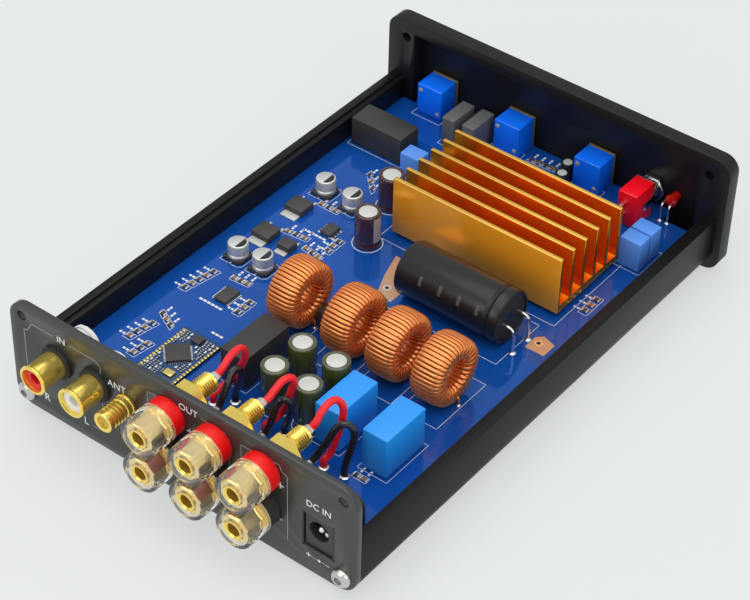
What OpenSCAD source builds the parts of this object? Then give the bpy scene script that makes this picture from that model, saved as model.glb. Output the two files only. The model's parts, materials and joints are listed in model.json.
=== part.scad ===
// Audio amplifier board in its open case: a tray, two end panels, the board and all parts on it.
// x runs across the case, y from the rear panel to the front panel, z upward, in millimetres.
// The shapes are drawn from the rear panel's outer face and the tray's underside,
// then moved so that the origin lies under the middle of the whole part, at the feet.

/* [Case] */
// Width of the tray and of the rear panel
case_w = 120; // [114:1:130]
// Length of the tray
tray_l = 169.2; // [166:0.2:176]
// Height of the tray walls
tray_h = 17.8; // [15:0.1:20]
// Radius of the long lower corners and of the rear panel
corner_r = 6; // [4:0.5:7]
// Thickness of the tray floor
floor_t = 2.2; // [1.6:0.1:2.8]
// Thickness of the tray wall below the board
wall_t = 2.5; // [2:0.1:3]
// Thickness of the tray wall above the board
rail_w = 4.4; // [3.8:0.1:5]
// Width of the low step inside the rail
step_w = 1.8; // [1:0.1:2.4]
// Depth of the low step
step_h = 0.9; // [0.5:0.1:1.5]
// Diameter of a stick-on foot
foot_d = 10; // [8:0.5:14]
// Height of a stick-on foot
foot_h = 2.5; // [2:0.5:4]

/* [Panels] */
// Height of the rear panel
rear_h = 36.5; // [35:0.5:40]
// Thickness of the rear panel
rear_t = 2; // [1.5:0.1:2.4]
// Width of the front panel
front_w = 125; // [122:1:132]
// Height of the front panel
front_h = 40; // [38:0.5:44]
// How far the front panel reaches below the tray
front_drop = 1.4; // [0.4:0.2:1.8]
// Thickness of the front panel
front_t = 8; // [7.5:0.1:9]
// Size of the bevel round the front face
front_bevel = 3; // [1:0.5:4]
// Corner radius of the front panel
front_r = 5; // [4.5:0.5:7]
// Depth of the pocket milled in the back of the front panel
pocket_d = 5.3; // [5:0.1:5.8]
// Spacing of the panel screws across the case
screw_span = 111; // [110:0.2:111.4]
// Height of the lower panel screws
screw_z = 4.8; // [4.6:0.1:4.9]
// Height of the upper panel holes
hole_z = 32; // [29:0.5:33]
// Thread diameter of the screws
screw_d = 3; // [2.5:0.1:3]

/* [Board] */
// Height of the board's underside
board_z = 7.6; // [7.4:0.1:8.4]
// Thickness of the board
board_t = 1.6; // [1:0.1:2]
// Depth that the board goes into each groove
board_hold = 1.7; // [1:0.1:2]

/* [Heatsink] */
// Number of fins
fin_count = 6; // [4:1:6]
// Distance from fin to fin
fin_pitch = 6; // [5:0.1:6.2]
// Thickness of a fin
fin_t = 1.3; // [1:0.1:1.8]
// Length of the heatsink
sink_l = 59.4; // [50:0.2:60]
// Height of the heatsink
sink_h = 19.6; // [14:0.2:22]
// Thickness of the base under the fins
sink_base = 3.5; // [2.5:0.1:5]

/* [Inductors] */
// Outer diameter of a wound ring
coil_od = 21; // [18:0.5:22]
// Hole diameter of a wound ring
coil_id = 8.6; // [7:0.2:10]
// Thickness of a wound ring
coil_t = 10.3; // [9:0.1:11]
// Turns of wire on a ring
coil_turns = 56; // [48:1:64]
// Depth of the valley between two turns
coil_groove = 0.3; // [0.2:0.05:0.4]

/* [Capacitors] */
// Diameter of the main capacitor
main_d = 17; // [15:0.5:18]
// Length of the main capacitor
main_l = 35.6; // [32:0.2:36]
// Diameter of the supply capacitors
rail_d = 8; // [6:0.1:8.2]
// Height of the supply capacitors
rail_cap_h = 15.5; // [12:0.5:16]
// Diameter of the flat can capacitors
can_d = 6.3; // [5:0.1:6.6]
// Height of the flat can capacitors
can_h = 5.8; // [5:0.1:7]
// Height of the large film capacitors
film_h = 14; // [11:0.2:16]

/* [Terminals] */
// Diameter of the threaded stud
stud_d = 6; // [5.6:0.1:6.4]
// Diameter of the plug hole in the stud
socket_d = 4; // [3.8:0.1:4.2]
// Diameter of the clear cap
cap_d = 12; // [11:0.1:12.2]
// Thickness of the coloured collar
collar_t = 2.5; // [2:0.1:3]
// How far the posts stand out of the rear panel
post_reach = 12.6; // [12:0.1:14]
// Spacing of the posts along the panel
post_pitch = 16; // [14:0.1:17]
// Height of the upper row of posts
post_z_top = 27.4; // [27:0.1:28]
// Height of the lower row of posts
post_z_low = 14.8; // [14:0.1:15]

/* [Signal sockets] */
// Outer diameter of the signal socket shell
rca_d = 8.3; // [8:0.1:8.6]
// How far the signal sockets stand out
rca_reach = 10; // [9:0.1:11]
// Distance between the signal sockets
rca_pitch = 14; // [12.6:0.1:14.4]
// Thread diameter of the aerial socket
aerial_d = 6.2; // [6:0.05:6.4]
// How far the aerial socket stands out
aerial_reach = 9.5; // [8:0.1:11]
// Diameter of the supply socket's pin
dc_pin_d = 2; // [1.8:0.1:2.6]

/* [Controls] */
// Height of the control axes above the tray's underside
control_z = 15; // [14.6:0.1:16]
// Distance from control to control
pot_pitch = 29.7; // [28:0.1:30.2]
// Diameter of a control shaft
shaft_d = 6; // [5.6:0.1:6.2]
// Diameter of a knob
knob_d = 17; // [15:0.5:20]
// Length of a knob
knob_l = 14; // [13:0.5:18]
// Swing of the toggle lever to each side, in degrees
lever_tilt = 13; // [8:1:14]
// Diameter of the power lamp
led_d = 3; // [2.6:0.1:3.2]

/* [Hidden] */
$fn = 48;
// Clearance of a turning fit
run_fit = 0.05;
// Clearance of a loose hole
loose_fit = 0.1;
// Overshoot of a cutting shape
cut = 1;

tray_y1 = rear_t + tray_l;
front_y0 = tray_y1;
front_y1 = front_y0 + front_t;
pocket_y = front_y0 + pocket_d;
front_z0 = -front_drop;
front_z1 = front_z0 + front_h;
pot_mid = -13.4;
pot_x = [pot_mid - pot_pitch, pot_mid, pot_mid + pot_pitch];
pot_w = 9.4;
pocket_room = 4.7;
pocket_x = pot_w / 2 - pot_x[0] + pocket_room;
pocket_z0 = 2.8;
pocket_z1 = 34;
screw_x = screw_span / 2;
screw_r = screw_d / 2;
port_r = 2.5;
port_web = 1.6;
head_r = 3;
head_h = 2;
key_d = 2;
key_h = 1.2;
shank_l = 8;

// Top face of the board, on which everything stands
top = board_z + board_t;
// Inner face of the rails, from which the parts along the walls are placed
right_in = case_w / 2 - rail_w;
board_x = right_in + board_hold;
board_y0 = rear_t + 0.4;
board_y1 = tray_y1 - 0.4;
tongue_y1 = pocket_y - 0.5;
tongue_gap = 1.5;
tongue_x0 = tongue_gap - pocket_x;
tongue_x1 = 42;
groove_x = board_x + loose_fit;
lip_h = 1.5;

// Heatsink place
sink_mid = 13.7;
sink_x0 = sink_mid - sink_l / 2;
sink_y0 = 113.2;
chip_h = 1.6;
sink_z0 = top + chip_h;
sink_z1 = sink_z0 + sink_h;
sink_w = (fin_count - 1) * fin_pitch + fin_t;
sink_screw_in = 5;
sink_screw_y = sink_y0 + sink_w / 2;
sink_screw_up = 2.4;

// Inductor places
coil_x = [-12.9, 6.5, 22.1, 37.8];
coil_y = 66.4;
coil_z = top + coil_od / 2 + 0.1;
coil_sides = 10;
coil_cover = 1.2;

// Main capacitor place
main_x0 = 3;
main_y = 97;
main_z = top + main_d / 2;
main_lead_gap = 7.5;
main_lead_r = 0.45;
main_lead_out = 3.6;

// Upright capacitor places
rail_x = [4.6, 16.4];
rail_y = [34.4, 46.2];
brown_at = [[-19.3, 105.7], [-24.7, 124.1]];
brown_d = 8;
brown_h = 12;
can_at = [[-44.5, 76.5], [-35.4, 76.9], [-43.8, 116.5], [-33, 115.9]];
can_base = 1;
bead_at = [[10, 164], [8.4, 169.4]];
bead_d = 4.2;
bead_h = 6;

// Box-shaped parts: x, y of the corner, then width, depth and height
film_at = [[21.2, 31], [37.2, 31]];
film_w = 8.3;
film_l = 16.8;
light_w = 7.2;
light_l = 5.4;
light_h = 10.4;
light_gap = 0.3;
light_in = 5.2;
light_x = right_in - light_in - light_w;
light_y = sink_y0 + sink_w + light_gap;
relay_in = 2;
relay_l = 19.2;
relay_gap = 1.9;
relay_x = relay_in - right_in;
light_at = [
  [light_x, light_y, light_w, light_l, light_h],
  [light_x, light_y + light_l + 2 * light_gap, light_w, light_l, light_h],
  [relay_x + relay_l + relay_gap, 138.4, 7, 5.5, 8],
];
grey_at = [[-32, 159], [-24.8, 159.5]];
grey_w = 4.6;
grey_l = 11;
grey_h = 10;
relay_at = [[relay_x, 141.2, relay_l, 9, 9.8], [-14.6, 34, 9, 19, 11], [-6.6, 66.4, 6.8, 7.4, 7]];
regulator_at = [[-44.7, 89.3, 6.6], [-45, 105.1, 6.6], [-36, 88.6, 4.6]];
chip_at = [[-30.9, 102.5, 3.9, 4.9, 1.5], [-35.4, 60.8, 4.4, 6.5, 1.1]];
amp_pitch = 27.4;
amp_at = [for (s = [-1, 1]) [sink_mid + s * amp_pitch / 2, sink_screw_y]];
amp_w = 12;
reg_h = 2.3;
reg_leg_t = 0.5;
reg_leg_w = 0.7;

// Wireless daughter board
radio_x0 = -35.2;
radio_x1 = -21.9;
radio_y0 = 17;
radio_y1 = 43;
radio_t = 1;
radio_chip = [-29.2, 32.7];
radio_chip_w = 7;
radio_bits = [[-28.3, 40.2, 3, 3, 0.9], [-25.7, 25, 3.2, 2.5, 0.8]];

// Rows of small soldered parts: first place, step to the next, count
chip_rows = [
  [-47.4, 56.2, 0.5, 2.6, 5],
  [-39, 68.4, 2.3, 0.2, 3],
  [-28.4, 57.6, 0, 2.6, 3],
  [-45.5, 30.6, 0.5, 2.6, 4],
  [-40, 26, 0.4, 2.6, 3],
  [-44.5, 43.6, 2.4, -1.2, 3],
  [-40.6, 94.8, 2.9, 0.3, 3],
  [-25.9, 100.4, 0, -2.6, 3],
  [-41, 111.3, 2.6, 0, 3],
  [-38.6, 131.6, 2.4, -2.4, 3],
  [-31.4, 92, 2.6, -0.4, 3],
  [-4.8, 166.8, 2.6, 0.2, 4],
  [38.4, 27.6, 2.4, 0, 2],
  [right_in - 7.6, 121, 0, 3, 3],
];
smd_w = 1.2;
smd_l = 2;
smd_h = 0.6;

// Binding posts, from left to right, upper row first
post_mid = 13.5;
post_xs = [post_mid - post_pitch, post_mid, post_mid + post_pitch];
post_at = [for (z = [post_z_top, post_z_low]) for (x = post_xs) [x, z]];
stud_r = stud_d / 2;
stud_in = 16.6;
socket_l = 11;
spigot_r = stud_r + 0.7;
collar_r = cap_d / 2 + 0.1;
washer_r = 5.5;
washer_t = 2.4;
nut_af = 9;
nut_t = 5;
cap_gap = 0.3;
flange_t = 0.8;
sleeve_r = stud_r + 1.6;
cap_y0 = -post_reach;
cap_lip = 0.8;
flange_y1 = -collar_t - cap_gap;
cap_y1 = flange_y1 - flange_t;

// Signal and aerial sockets
rca_z = 22.4;
rca_mid = -35.9;
rca_x = [rca_mid - rca_pitch / 2, rca_mid + rca_pitch / 2];
rca_r = rca_d / 2;
rca_wall = 0.6;
rca_lip = 0.4;
rca_ring_r = 5.8;
rca_ring_t = 1.2;
rca_body_r = 5.6;
rca_body_l = 10;
rca_in = 3;
aerial_x = -17.8;
aerial_z = 21.8;
aerial_r = aerial_d / 2;
aerial_nut = 8;
aerial_nut_t = 2.2;
aerial_block = 6.4;
aerial_back = 9;

// Supply socket
dc_w = 9;
dc_in = 3.6;
dc_x0 = right_in - dc_in - dc_w;
dc_h = 11;
dc_y0 = 0.4;
dc_face = 3.4;
dc_l = 14;
dc_up = 6.5;
dc_hole_r = 3.15;
dc_hole_l = 9.5;
dc_x = dc_x0 + dc_w / 2;
dc_gap = 0.35;

// Controls
pot_y1 = pocket_y - 0.2;
pot_plate = 1;
pot_l = 9;
pot_over = 5.2;
pot_h = control_z - top + pot_over;
pot_bush_r = shaft_d / 2 + 0.5;
pot_nut_af = 10;
pot_nut_t = 2;
bush_y1 = front_y1 + 3;
shaft_r = shaft_d / 2;
knob_r = knob_d / 2;
knob_y0 = front_y1 + 0.6;
knob_y1 = knob_y0 + knob_l;
knob_hole_y = knob_y0 + 3.4;
knob_recess_r = 6.6;
shaft_y1 = knob_y1 - 2.4;

switch_x = 35.1;
switch_w = 6.4;
switch_y1 = front_y0 - 0.6;
switch_l = 9.6;
switch_over = 6.2;
switch_h = control_z - top + switch_over;
switch_frame = 0.6;
switch_bush_r = 3;
switch_nut_af = 8;
switch_nut_t = 1.8;
switch_bush_y1 = front_y1 + 3.8;
tab_t = 0.5;
tab_l = 5.6;
tab_w = 3.2;
lever_room = 0.3;
lever_flare = 0.75;
pivot_pin_r = 0.5;
pin_seat = 0.6;
pivot_y = switch_bush_y1 - 3;
ball_r = 1.9;
lever_r = 1.25;
lever_tip_r = 1.5;
lever_l = 11;

led_x = 43.2;
led_z = control_z + 0.3;
led_r = led_d / 2;
led_y0 = front_y0 + 1.6;
led_flange = 1;
led_l = pocket_y + 0.6 - led_y0;
led_leg_r = 0.3;
led_leg_y = front_y0 - 1.2;
led_gap = 2.54;

// Wire routes from the stud ends to the board, with the height above the board at the end
wire_r = 1.05;
wire_y0 = stud_in;
red_bend = [
  [[0, 1.6, 0], [0.5, 4.2, 1.9], [0.1, 8, 3.3], [-0.3, 12.4, 2.7], [-0.7, 14.8, -1.5], [-2.5, 15.2, -6.6],
    [-3.9, 14, -10.8], [-6.3, 10.8, -14.3]],
  [[0, 1.6, 0], [0.4, 3.6, 0.2], [0.6, 6.6, 1.8], [0.9, 10.2, 2.9], [1.6, 12, 2.6], [1.9, 12.8, 0.6],
    [1.1, 12.7, -2.4], [0.2, 12.5, -5.8], [-1.1, 12.2, -9.4], [-2.2, 11, -12.9]],
  [[0, 1.6, 0], [0.8, 3.4, 1.8], [1, 6.2, 4.5], [1.3, 9.4, 5.4], [1.7, 11.2, 4.7], [2.6, 12.4, 2.5],
    [2.6, 12.6, -1.2], [2.4, 12.1, -4.5], [1.8, 10.8, -9], [0.8, 9.4, -14.2]],
];
red_end = [[-9.4, 25], [9, 25], [29.6, 24.6]];
black_bend = [
  [[0, 1.6, 0], [-0.2, 5, 3.6], [-0.5, 7.6, 6.6], [-0.8, 9.6, 8.4], [-0.5, 11, 8.6], [-0.1, 11.8, 7.4],
    [-0.2, 12.2, 5.2], [-0.9, 12.3, 2.4]],
  [[0, 1.6, 0], [0.4, 4.4, 3], [0.2, 6.4, 5.8], [0.4, 7.8, 7.8], [1.4, 9.2, 9.2], [2.6, 10, 8.2],
    [2.8, 10.4, 5.2], [1.6, 11, 1]],
  [[0, 1.6, 0], [1.4, 4.6, 3.4], [2.6, 7, 7], [3.5, 9, 10], [4.9, 10.5, 11.1], [6.5, 11.6, 10.1],
    [7.2, 11.8, 7.4], [6.9, 10.8, 3.2]],
];
black_end = [[-5, 29], [13.4, 28], [36, 25.4]];

// Middle of the whole part along y
mid_y = (knob_y1 - post_reach) / 2;

// Moves a drawing into the part's own frame
module placed() {
  translate([0, -mid_y, foot_h])
    children();
}

// Extrudes a drawing in x and z along y
module along_y(y0, y1) {
  translate([0, y1, 0])
    rotate([90, 0, 0])
      linear_extrude(y1 - y0)
        children();
}

// Round bar along y
module rod_y(r, y0, y1, x, z) {
  translate([x, y1, z])
    rotate([90, 0, 0])
      cylinder(r = r, h = y1 - y0);
}

// Cone along y
module cone_y(r0, r1, y0, y1, x, z) {
  translate([x, y1, z])
    rotate([90, 0, 0])
      cylinder(r1 = r1, r2 = r0, h = y1 - y0);
}

// Hexagon bar along y
module hex_y(af, y0, y1, x, z) {
  translate([x, y1, z])
    rotate([90, 0, 0])
      cylinder(r = af / 2 / cos(30), h = y1 - y0, $fn = 6);
}

// Round bar along x
module rod_x(r, x0, x1, y, z) {
  translate([x0, y, z])
    rotate([0, 90, 0])
      cylinder(r = r, h = x1 - x0);
}

// Round bar along z
module rod_z(r, z0, z1, x, y) {
  translate([x, y, z0])
    cylinder(r = r, h = z1 - z0);
}

// Box between two corners
module block(x0, x1, y0, y1, z0, z1) {
  translate([x0, y0, z0])
    cube([x1 - x0, y1 - y0, z1 - z0]);
}

// Rounded rectangle drawn in x and z
module rounded(w, z0, z1, r) {
  translate([-w / 2, z0 + r])
    square([w, z1 - z0 - 2 * r]);
  translate([-w / 2 + r, z0])
    square([w - 2 * r, z1 - z0]);
  for (s = [-1, 1])
    for (z = [z0 + r, z1 - r])
      translate([s * (w / 2 - r), z])
        circle(r);
}

module tray_outer() {
  translate([-case_w / 2, corner_r])
    square([case_w, tray_h - corner_r]);
  translate([-case_w / 2 + corner_r, 0])
    square([case_w - 2 * corner_r, corner_r]);
  for (s = [-1, 1])
    translate([s * (case_w / 2 - corner_r), corner_r])
      circle(corner_r);
}

// Rectangle drawn in x and z, mirrored about the middle
module slot(x, z0, z1) {
  translate([-x, z0])
    square([2 * x, z1 - z0]);
}

module tray_hollow() {
  slot(case_w / 2 - wall_t, floor_t, board_z - lip_h);
  slot(right_in, floor_t, tray_h + cut);
  slot(groove_x, board_z - loose_fit, top + loose_fit);
  slot(right_in + step_w, tray_h - step_h, tray_h + cut);
}

module bottom_tray() {
  color("#26262a")
    placed()
      along_y(rear_t, tray_y1)
        difference() {
          union() {
            difference() {
              tray_outer();
              tray_hollow();
            }
            for (s = [-1, 1]) {
              translate([s * screw_x, screw_z])
                circle(port_r);
              translate([s * screw_x - port_web, floor_t - 0.4])
                square([2 * port_web, screw_z - floor_t + 0.4]);
            }
          }
          for (s = [-1, 1])
            translate([s * screw_x, screw_z])
              circle(screw_r + run_fit);
        }
}

module rubber_feet() {
  color("#1b1b1c")
    placed()
      for (s = [-1, 1])
        for (y = [rear_t + 14, tray_y1 - 14])
          rod_z(foot_d / 2, -foot_h, 0, s * (case_w / 2 - 16), y);
}

module rear_panel() {
  color("#4a4b4c")
    placed()
      along_y(0, rear_t)
        difference() {
          rounded(case_w, 0, rear_h, corner_r);
          for (s = [-1, 1])
            for (z = [screw_z, hole_z])
              translate([s * screw_x, z])
                circle(screw_r + loose_fit);
          for (p = post_at)
            translate(p)
              circle(spigot_r + run_fit);
          for (x = rca_x)
            translate([x, rca_z])
              circle(rca_r + 0.5);
          translate([aerial_x, aerial_z])
            circle(aerial_r + loose_fit);
          translate([dc_x0 - dc_gap, top - dc_gap])
            square([dc_w + 2 * dc_gap, dc_h + 2 * dc_gap]);
        }
}

// Front slab with its bevel: straight edge first, then the sloping border
module front_slab() {
  bevel_y = front_y1 - front_bevel;
  cx = front_w / 2 - front_r;
  cz0 = front_z0 + front_r;
  cz1 = front_z1 - front_r;
  tip_r = front_r - front_bevel;
  along_y(front_y0, bevel_y)
    rounded(front_w, front_z0, front_z1, front_r);
  for (x = [-cx, cx])
    for (z = [cz0, cz1])
      cone_y(front_r, tip_r, bevel_y, front_y1, x, z);
  translate([-cx, 0, 0])
    rotate([90, 0, 90])
      linear_extrude(2 * cx)
        polygon([
          [bevel_y, front_z0],
          [front_y1, front_z0 + front_bevel],
          [front_y1, front_z1 - front_bevel],
          [bevel_y, front_z1]
        ]);
  translate([0, 0, cz0])
    linear_extrude(cz1 - cz0)
      polygon([
        [-front_w / 2, bevel_y],
        [front_w / 2, bevel_y],
        [front_w / 2 - front_bevel, front_y1],
        [-front_w / 2 + front_bevel, front_y1]
      ]);
}

module front_panel() {
  color("#2b2c2d")
    placed()
      difference() {
        front_slab();
        block(-pocket_x, pocket_x, front_y0 - cut, pocket_y, pocket_z0, pocket_z1);
        for (s = [-1, 1])
          for (z = [screw_z, hole_z])
            rod_y(screw_r + loose_fit, front_y0 - cut, front_y1 + cut, s * screw_x, z);
        for (x = pot_x)
          rod_y(pot_bush_r + loose_fit, front_y0, front_y1 + cut, x, control_z);
        rod_y(switch_bush_r + loose_fit, front_y0, front_y1 + cut, switch_x, control_z);
        rod_y(led_r + loose_fit, front_y0, front_y1 + cut, led_x, led_z);
      }
}

// Button-head screw with its head toward -y, seated at the origin
module button_screw(l) {
  difference() {
    rotate([90, 0, 0])
      cylinder(r1 = head_r, r2 = head_r - 0.7, h = head_h);
    rotate([90, 0, 0])
      translate([0, 0, head_h - key_h])
        cylinder(r = key_d / 2 / cos(30), h = key_h + cut, $fn = 6);
  }
  rotate([-90, 0, 0])
    cylinder(r = screw_r, h = l);
}

module screws() {
  color("#b9bab8")
    placed() {
      for (s = [-1, 1]) {
        translate([s * screw_x, 0, screw_z])
          button_screw(rear_t + shank_l);
        translate([s * screw_x, front_y1, screw_z])
          rotate([0, 0, 180])
            button_screw(front_t + shank_l);
      }
      for (x = [sink_x0 + sink_screw_in, sink_x0 + sink_l - sink_screw_in])
        translate([x, sink_screw_y, board_z])
          rotate([90, 0, 0])
            button_screw(board_t + chip_h + sink_screw_up);
    }
}

module circuit_board() {
  color("#0b3d9c")
    placed()
      translate([0, 0, board_z])
        linear_extrude(board_t)
          difference() {
            union() {
              translate([-board_x, board_y0])
                square([2 * board_x, board_y1 - board_y0]);
              translate([tongue_x0, board_y0])
                square([tongue_x1 - tongue_x0, tongue_y1 - board_y0]);
            }
            for (x = [sink_x0 + sink_screw_in, sink_x0 + sink_l - sink_screw_in])
              translate([x, sink_screw_y])
                circle(screw_r + loose_fit);
          }
}

module heatsink() {
  color("#d8932a")
    placed()
      difference() {
        union() {
          block(sink_x0, sink_x0 + sink_l, sink_y0, sink_y0 + sink_w, sink_z0, sink_z0 + sink_base);
          for (i = [0 : fin_count - 1])
            block(sink_x0, sink_x0 + sink_l, sink_y0 + i * fin_pitch, sink_y0 + i * fin_pitch + fin_t,
              sink_z0, sink_z1);
        }
        for (x = [sink_x0 + sink_screw_in, sink_x0 + sink_l - sink_screw_in])
          rod_z(screw_r + run_fit, sink_z0 - cut, sink_z0 + sink_screw_up, x, sink_screw_y);
      }
}

module amplifier_chips() {
  color("#2a2a2c")
    placed()
      for (p = amp_at)
        block(p[0] - amp_w / 2, p[0] + amp_w / 2, p[1] - amp_w / 2, p[1] + amp_w / 2, top, sink_z0);
}

// Lead that runs out along x, bends and goes down to the board
module bent_lead(x0, x1, y, z, r) {
  rod_x(r, x0, x1, y, z);
  translate([x1, y, z])
    sphere(r);
  rod_z(r, top, z, x1, y);
}

module main_capacitor() {
  color("#1d1d1f")
    placed() {
      x1 = main_x0 + main_l;
      translate([main_x0, main_y, main_z])
        rotate([0, 90, 0])
          rotate_extrude()
            polygon([
              [0, 0],
              [main_d / 2 - 0.8, 0],
              [main_d / 2, 0.8],
              [main_d / 2, main_l - 4.6],
              [main_d / 2 - 0.6, main_l - 3.8],
              [main_d / 2, main_l - 3],
              [main_d / 2, main_l - 0.6],
              [main_d / 2 - 0.8, main_l],
              [main_d / 2 - 1.6, main_l],
              [main_d / 2 - 1.8, main_l - 0.6],
              [0, main_l - 0.6]
            ]);
      for (s = [-1, 1])
        bent_lead(x1 - 1, x1 + main_lead_out, main_y + s * main_lead_gap / 2, main_z, main_lead_r);
    }
}

// Ring of wire turns about the x axis: each turn is a crest between two valleys
function pull(v, e) = sign(v) * pow(abs(v), e);
function coil_point(i, j, steps) =
  let (
    a = 360 * i / steps,
    b = 360 * (j + 0.5) / coil_sides,
    d = (i % 2) * coil_groove,
    half_r = (coil_od - coil_id) / 4 - d,
    half_t = coil_t / 2 - d,
    r = (coil_od + coil_id) / 4 + half_r * pull(cos(b), 0.6),
    x = half_t * pull(sin(b), 0.6)
  )
  [x, r * cos(a), r * sin(a)];

module wound_ring() {
  steps = 2 * coil_turns;
  points = [for (i = [0 : steps - 1]) for (j = [0 : coil_sides - 1]) coil_point(i, j, steps)];
  faces = [
    for (i = [0 : steps - 1])
      for (j = [0 : coil_sides - 1])
        let (
          k = (i + 1) % steps,
          m = (j + 1) % coil_sides
        )
        each [
          [i * coil_sides + j, i * coil_sides + m, k * coil_sides + m],
          [i * coil_sides + j, k * coil_sides + m, k * coil_sides + j]
        ]
  ];
  polyhedron(points, faces);
}

// Ring core about the x axis, grown by a clearance
module core_ring(g) {
  r0 = coil_id / 2 + coil_cover;
  r1 = coil_od / 2 - coil_cover;
  t = coil_t - 2 * coil_cover;
  rotate([0, 90, 0])
    rotate_extrude()
      translate([r0 - g, -t / 2 - g])
        square([r1 - r0 + 2 * g, t + 2 * g]);
}

module inductor_windings() {
  color("#d9793a")
    placed()
      for (x = coil_x)
        translate([x, coil_y, coil_z])
          difference() {
            wound_ring();
            core_ring(run_fit);
          }
}

module inductor_cores() {
  color("#4a4f45")
    placed()
      for (x = coil_x)
        translate([x, coil_y, coil_z])
          core_ring(0);
}

// Upright can capacitor with a rolled edge at the top
module upright_can(x, y, d, h, z0) {
  translate([x, y, z0])
    rotate_extrude()
      polygon([
        [0, 0],
        [d / 2, 0],
        [d / 2, h - 0.5],
        [d / 2 - 0.5, h],
        [d / 2 - 0.9, h],
        [d / 2 - 1.1, h - 0.25],
        [0, h - 0.25]
      ]);
}

module rail_capacitors() {
  color("#5a5f1e")
    placed()
      for (x = rail_x)
        for (y = rail_y)
          upright_can(x, y, rail_d, rail_cap_h, top);
}

module brown_capacitors() {
  color("#4a2a28")
    placed()
      for (p = brown_at)
        upright_can(p[0], p[1], brown_d, brown_h, top);
}

module can_capacitors() {
  color("#c9cbcc")
    placed() {
      for (p = can_at) {
        b = can_d / 2 + 0.15;
        block(p[0] - b, p[0] + b, p[1] - b, p[1] + b, top, top + can_base);
        upright_can(p[0], p[1], can_d, can_h - can_base, top + can_base);
      }
      for (p = bead_at)
        upright_can(p[0], p[1], bead_d, bead_h, top);
    }
}

module blue_film_caps() {
  color("#2d96f0")
    placed()
      for (p = film_at)
        block(p[0], p[0] + film_w, p[1], p[1] + film_l, top, top + film_h);
}

// Box given by a corner and its three sides, standing on the board
module standing_box(b) {
  block(b[0], b[0] + b[2], b[1], b[1] + b[3], top, top + b[4]);
}

module light_film_caps() {
  color("#5a96ee")
    placed()
      for (b = light_at)
        standing_box(b);
}

module grey_film_caps() {
  color("#5d5f61")
    placed()
      for (p = grey_at)
        block(p[0], p[0] + grey_w, p[1], p[1] + grey_l, top, top + grey_h);
}

module relays() {
  color("#1f1f21")
    placed()
      for (b = relay_at)
        standing_box(b);
}

module regulators() {
  color("#202022")
    placed()
      for (p = regulator_at) {
        w = p[2];
        block(p[0] - w / 2, p[0] + w / 2, p[1] - w * 0.46, p[1] + w * 0.46, top, top + reg_h);
        block(p[0] - w * 0.42, p[0] + w * 0.42, p[1] - w * 0.74, p[1] - w * 0.46, top, top + reg_leg_t);
        for (s = [-1, 1])
          translate([p[0] + s * w * 0.35, p[1], 0])
            block(-reg_leg_w / 2, reg_leg_w / 2, w * 0.46, w * 0.82, top, top + reg_leg_t);
      }
}

// Flat chip with feet along its two long sides
module footed_chip(x, y, w, l, h) {
  block(x - w / 2, x + w / 2, y - l / 2, y + l / 2, top + 0.1, top + h);
  for (s = [-1, 1])
    for (i = [0 : 3])
      block(x + s * (w / 2 + 0.45) - 0.5, x + s * (w / 2 + 0.45) + 0.5, y + (i - 1.5) * 1.27 - 0.2,
        y + (i - 1.5) * 1.27 + 0.2, top, top + 0.3);
}

module logic_chips() {
  color("#262628")
    placed() {
      for (c = chip_at)
        footed_chip(c[0], c[1], c[2], c[3], c[4]);
      translate([radio_chip[0], radio_chip[1], top + radio_t])
        rotate([0, 0, 45])
          block(-radio_chip_w / 2, radio_chip_w / 2, -radio_chip_w / 2, radio_chip_w / 2, 0, 0.9);
      for (b = radio_bits)
        block(b[0] - b[2] / 2, b[0] + b[2] / 2, b[1] - b[3] / 2, b[1] + b[3] / 2, top + radio_t,
          top + radio_t + b[4]);
    }
}

module wireless_module() {
  color("#0d3f8f")
    placed()
      block(radio_x0, radio_x1, radio_y0, radio_y1, top, top + radio_t);
}

module chip_parts() {
  color("#6d5a48")
    placed()
      for (r = chip_rows)
        for (i = [0 : r[4] - 1])
          translate([r[0] + i * r[2], r[1] + i * r[3], top])
            block(-smd_l / 2, smd_l / 2, -smd_w / 2, smd_w / 2, 0, smd_h);
}

module pot_bodies() {
  color("#0a5ae6")
    placed()
      for (x = pot_x)
        block(x - pot_w / 2, x + pot_w / 2, pot_y1 - pot_l, pot_y1 - pot_plate, top, top + pot_h);
}

module pot_plates() {
  color("#b4b6b8")
    placed()
      for (x = pot_x)
        difference() {
          union() {
            block(x - pot_w / 2, x + pot_w / 2, pot_y1 - pot_plate, pot_y1, top, top + pot_h);
            rod_y(pot_bush_r, pot_y1 - pot_plate, bush_y1, x, control_z);
          }
          rod_y(shaft_r + run_fit, pot_y1 - pot_plate + 0.2, bush_y1 + cut, x, control_z);
        }
}

module panel_nuts() {
  color("#b4b6b8")
    placed() {
      for (x = pot_x)
        difference() {
          hex_y(pot_nut_af, front_y1, front_y1 + pot_nut_t, x, control_z);
          rod_y(pot_bush_r + run_fit, front_y1 - cut, front_y1 + pot_nut_t + cut, x, control_z);
        }
      for (y = [pocket_y - switch_nut_t, front_y1])
        difference() {
          hex_y(switch_nut_af, y, y + switch_nut_t, switch_x, control_z);
          rod_y(switch_bush_r + run_fit, y - cut, y + switch_nut_t + cut, switch_x, control_z);
        }
    }
}

module pot_shaft(i) {
  color("#c4c6c6")
    placed()
      rod_y(shaft_r, pot_y1 - pot_plate + 0.4, shaft_y1, pot_x[i], control_z);
}

module pot_shaft_1() {
  pot_shaft(0);
}

module pot_shaft_2() {
  pot_shaft(1);
}

module pot_shaft_3() {
  pot_shaft(2);
}

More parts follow.
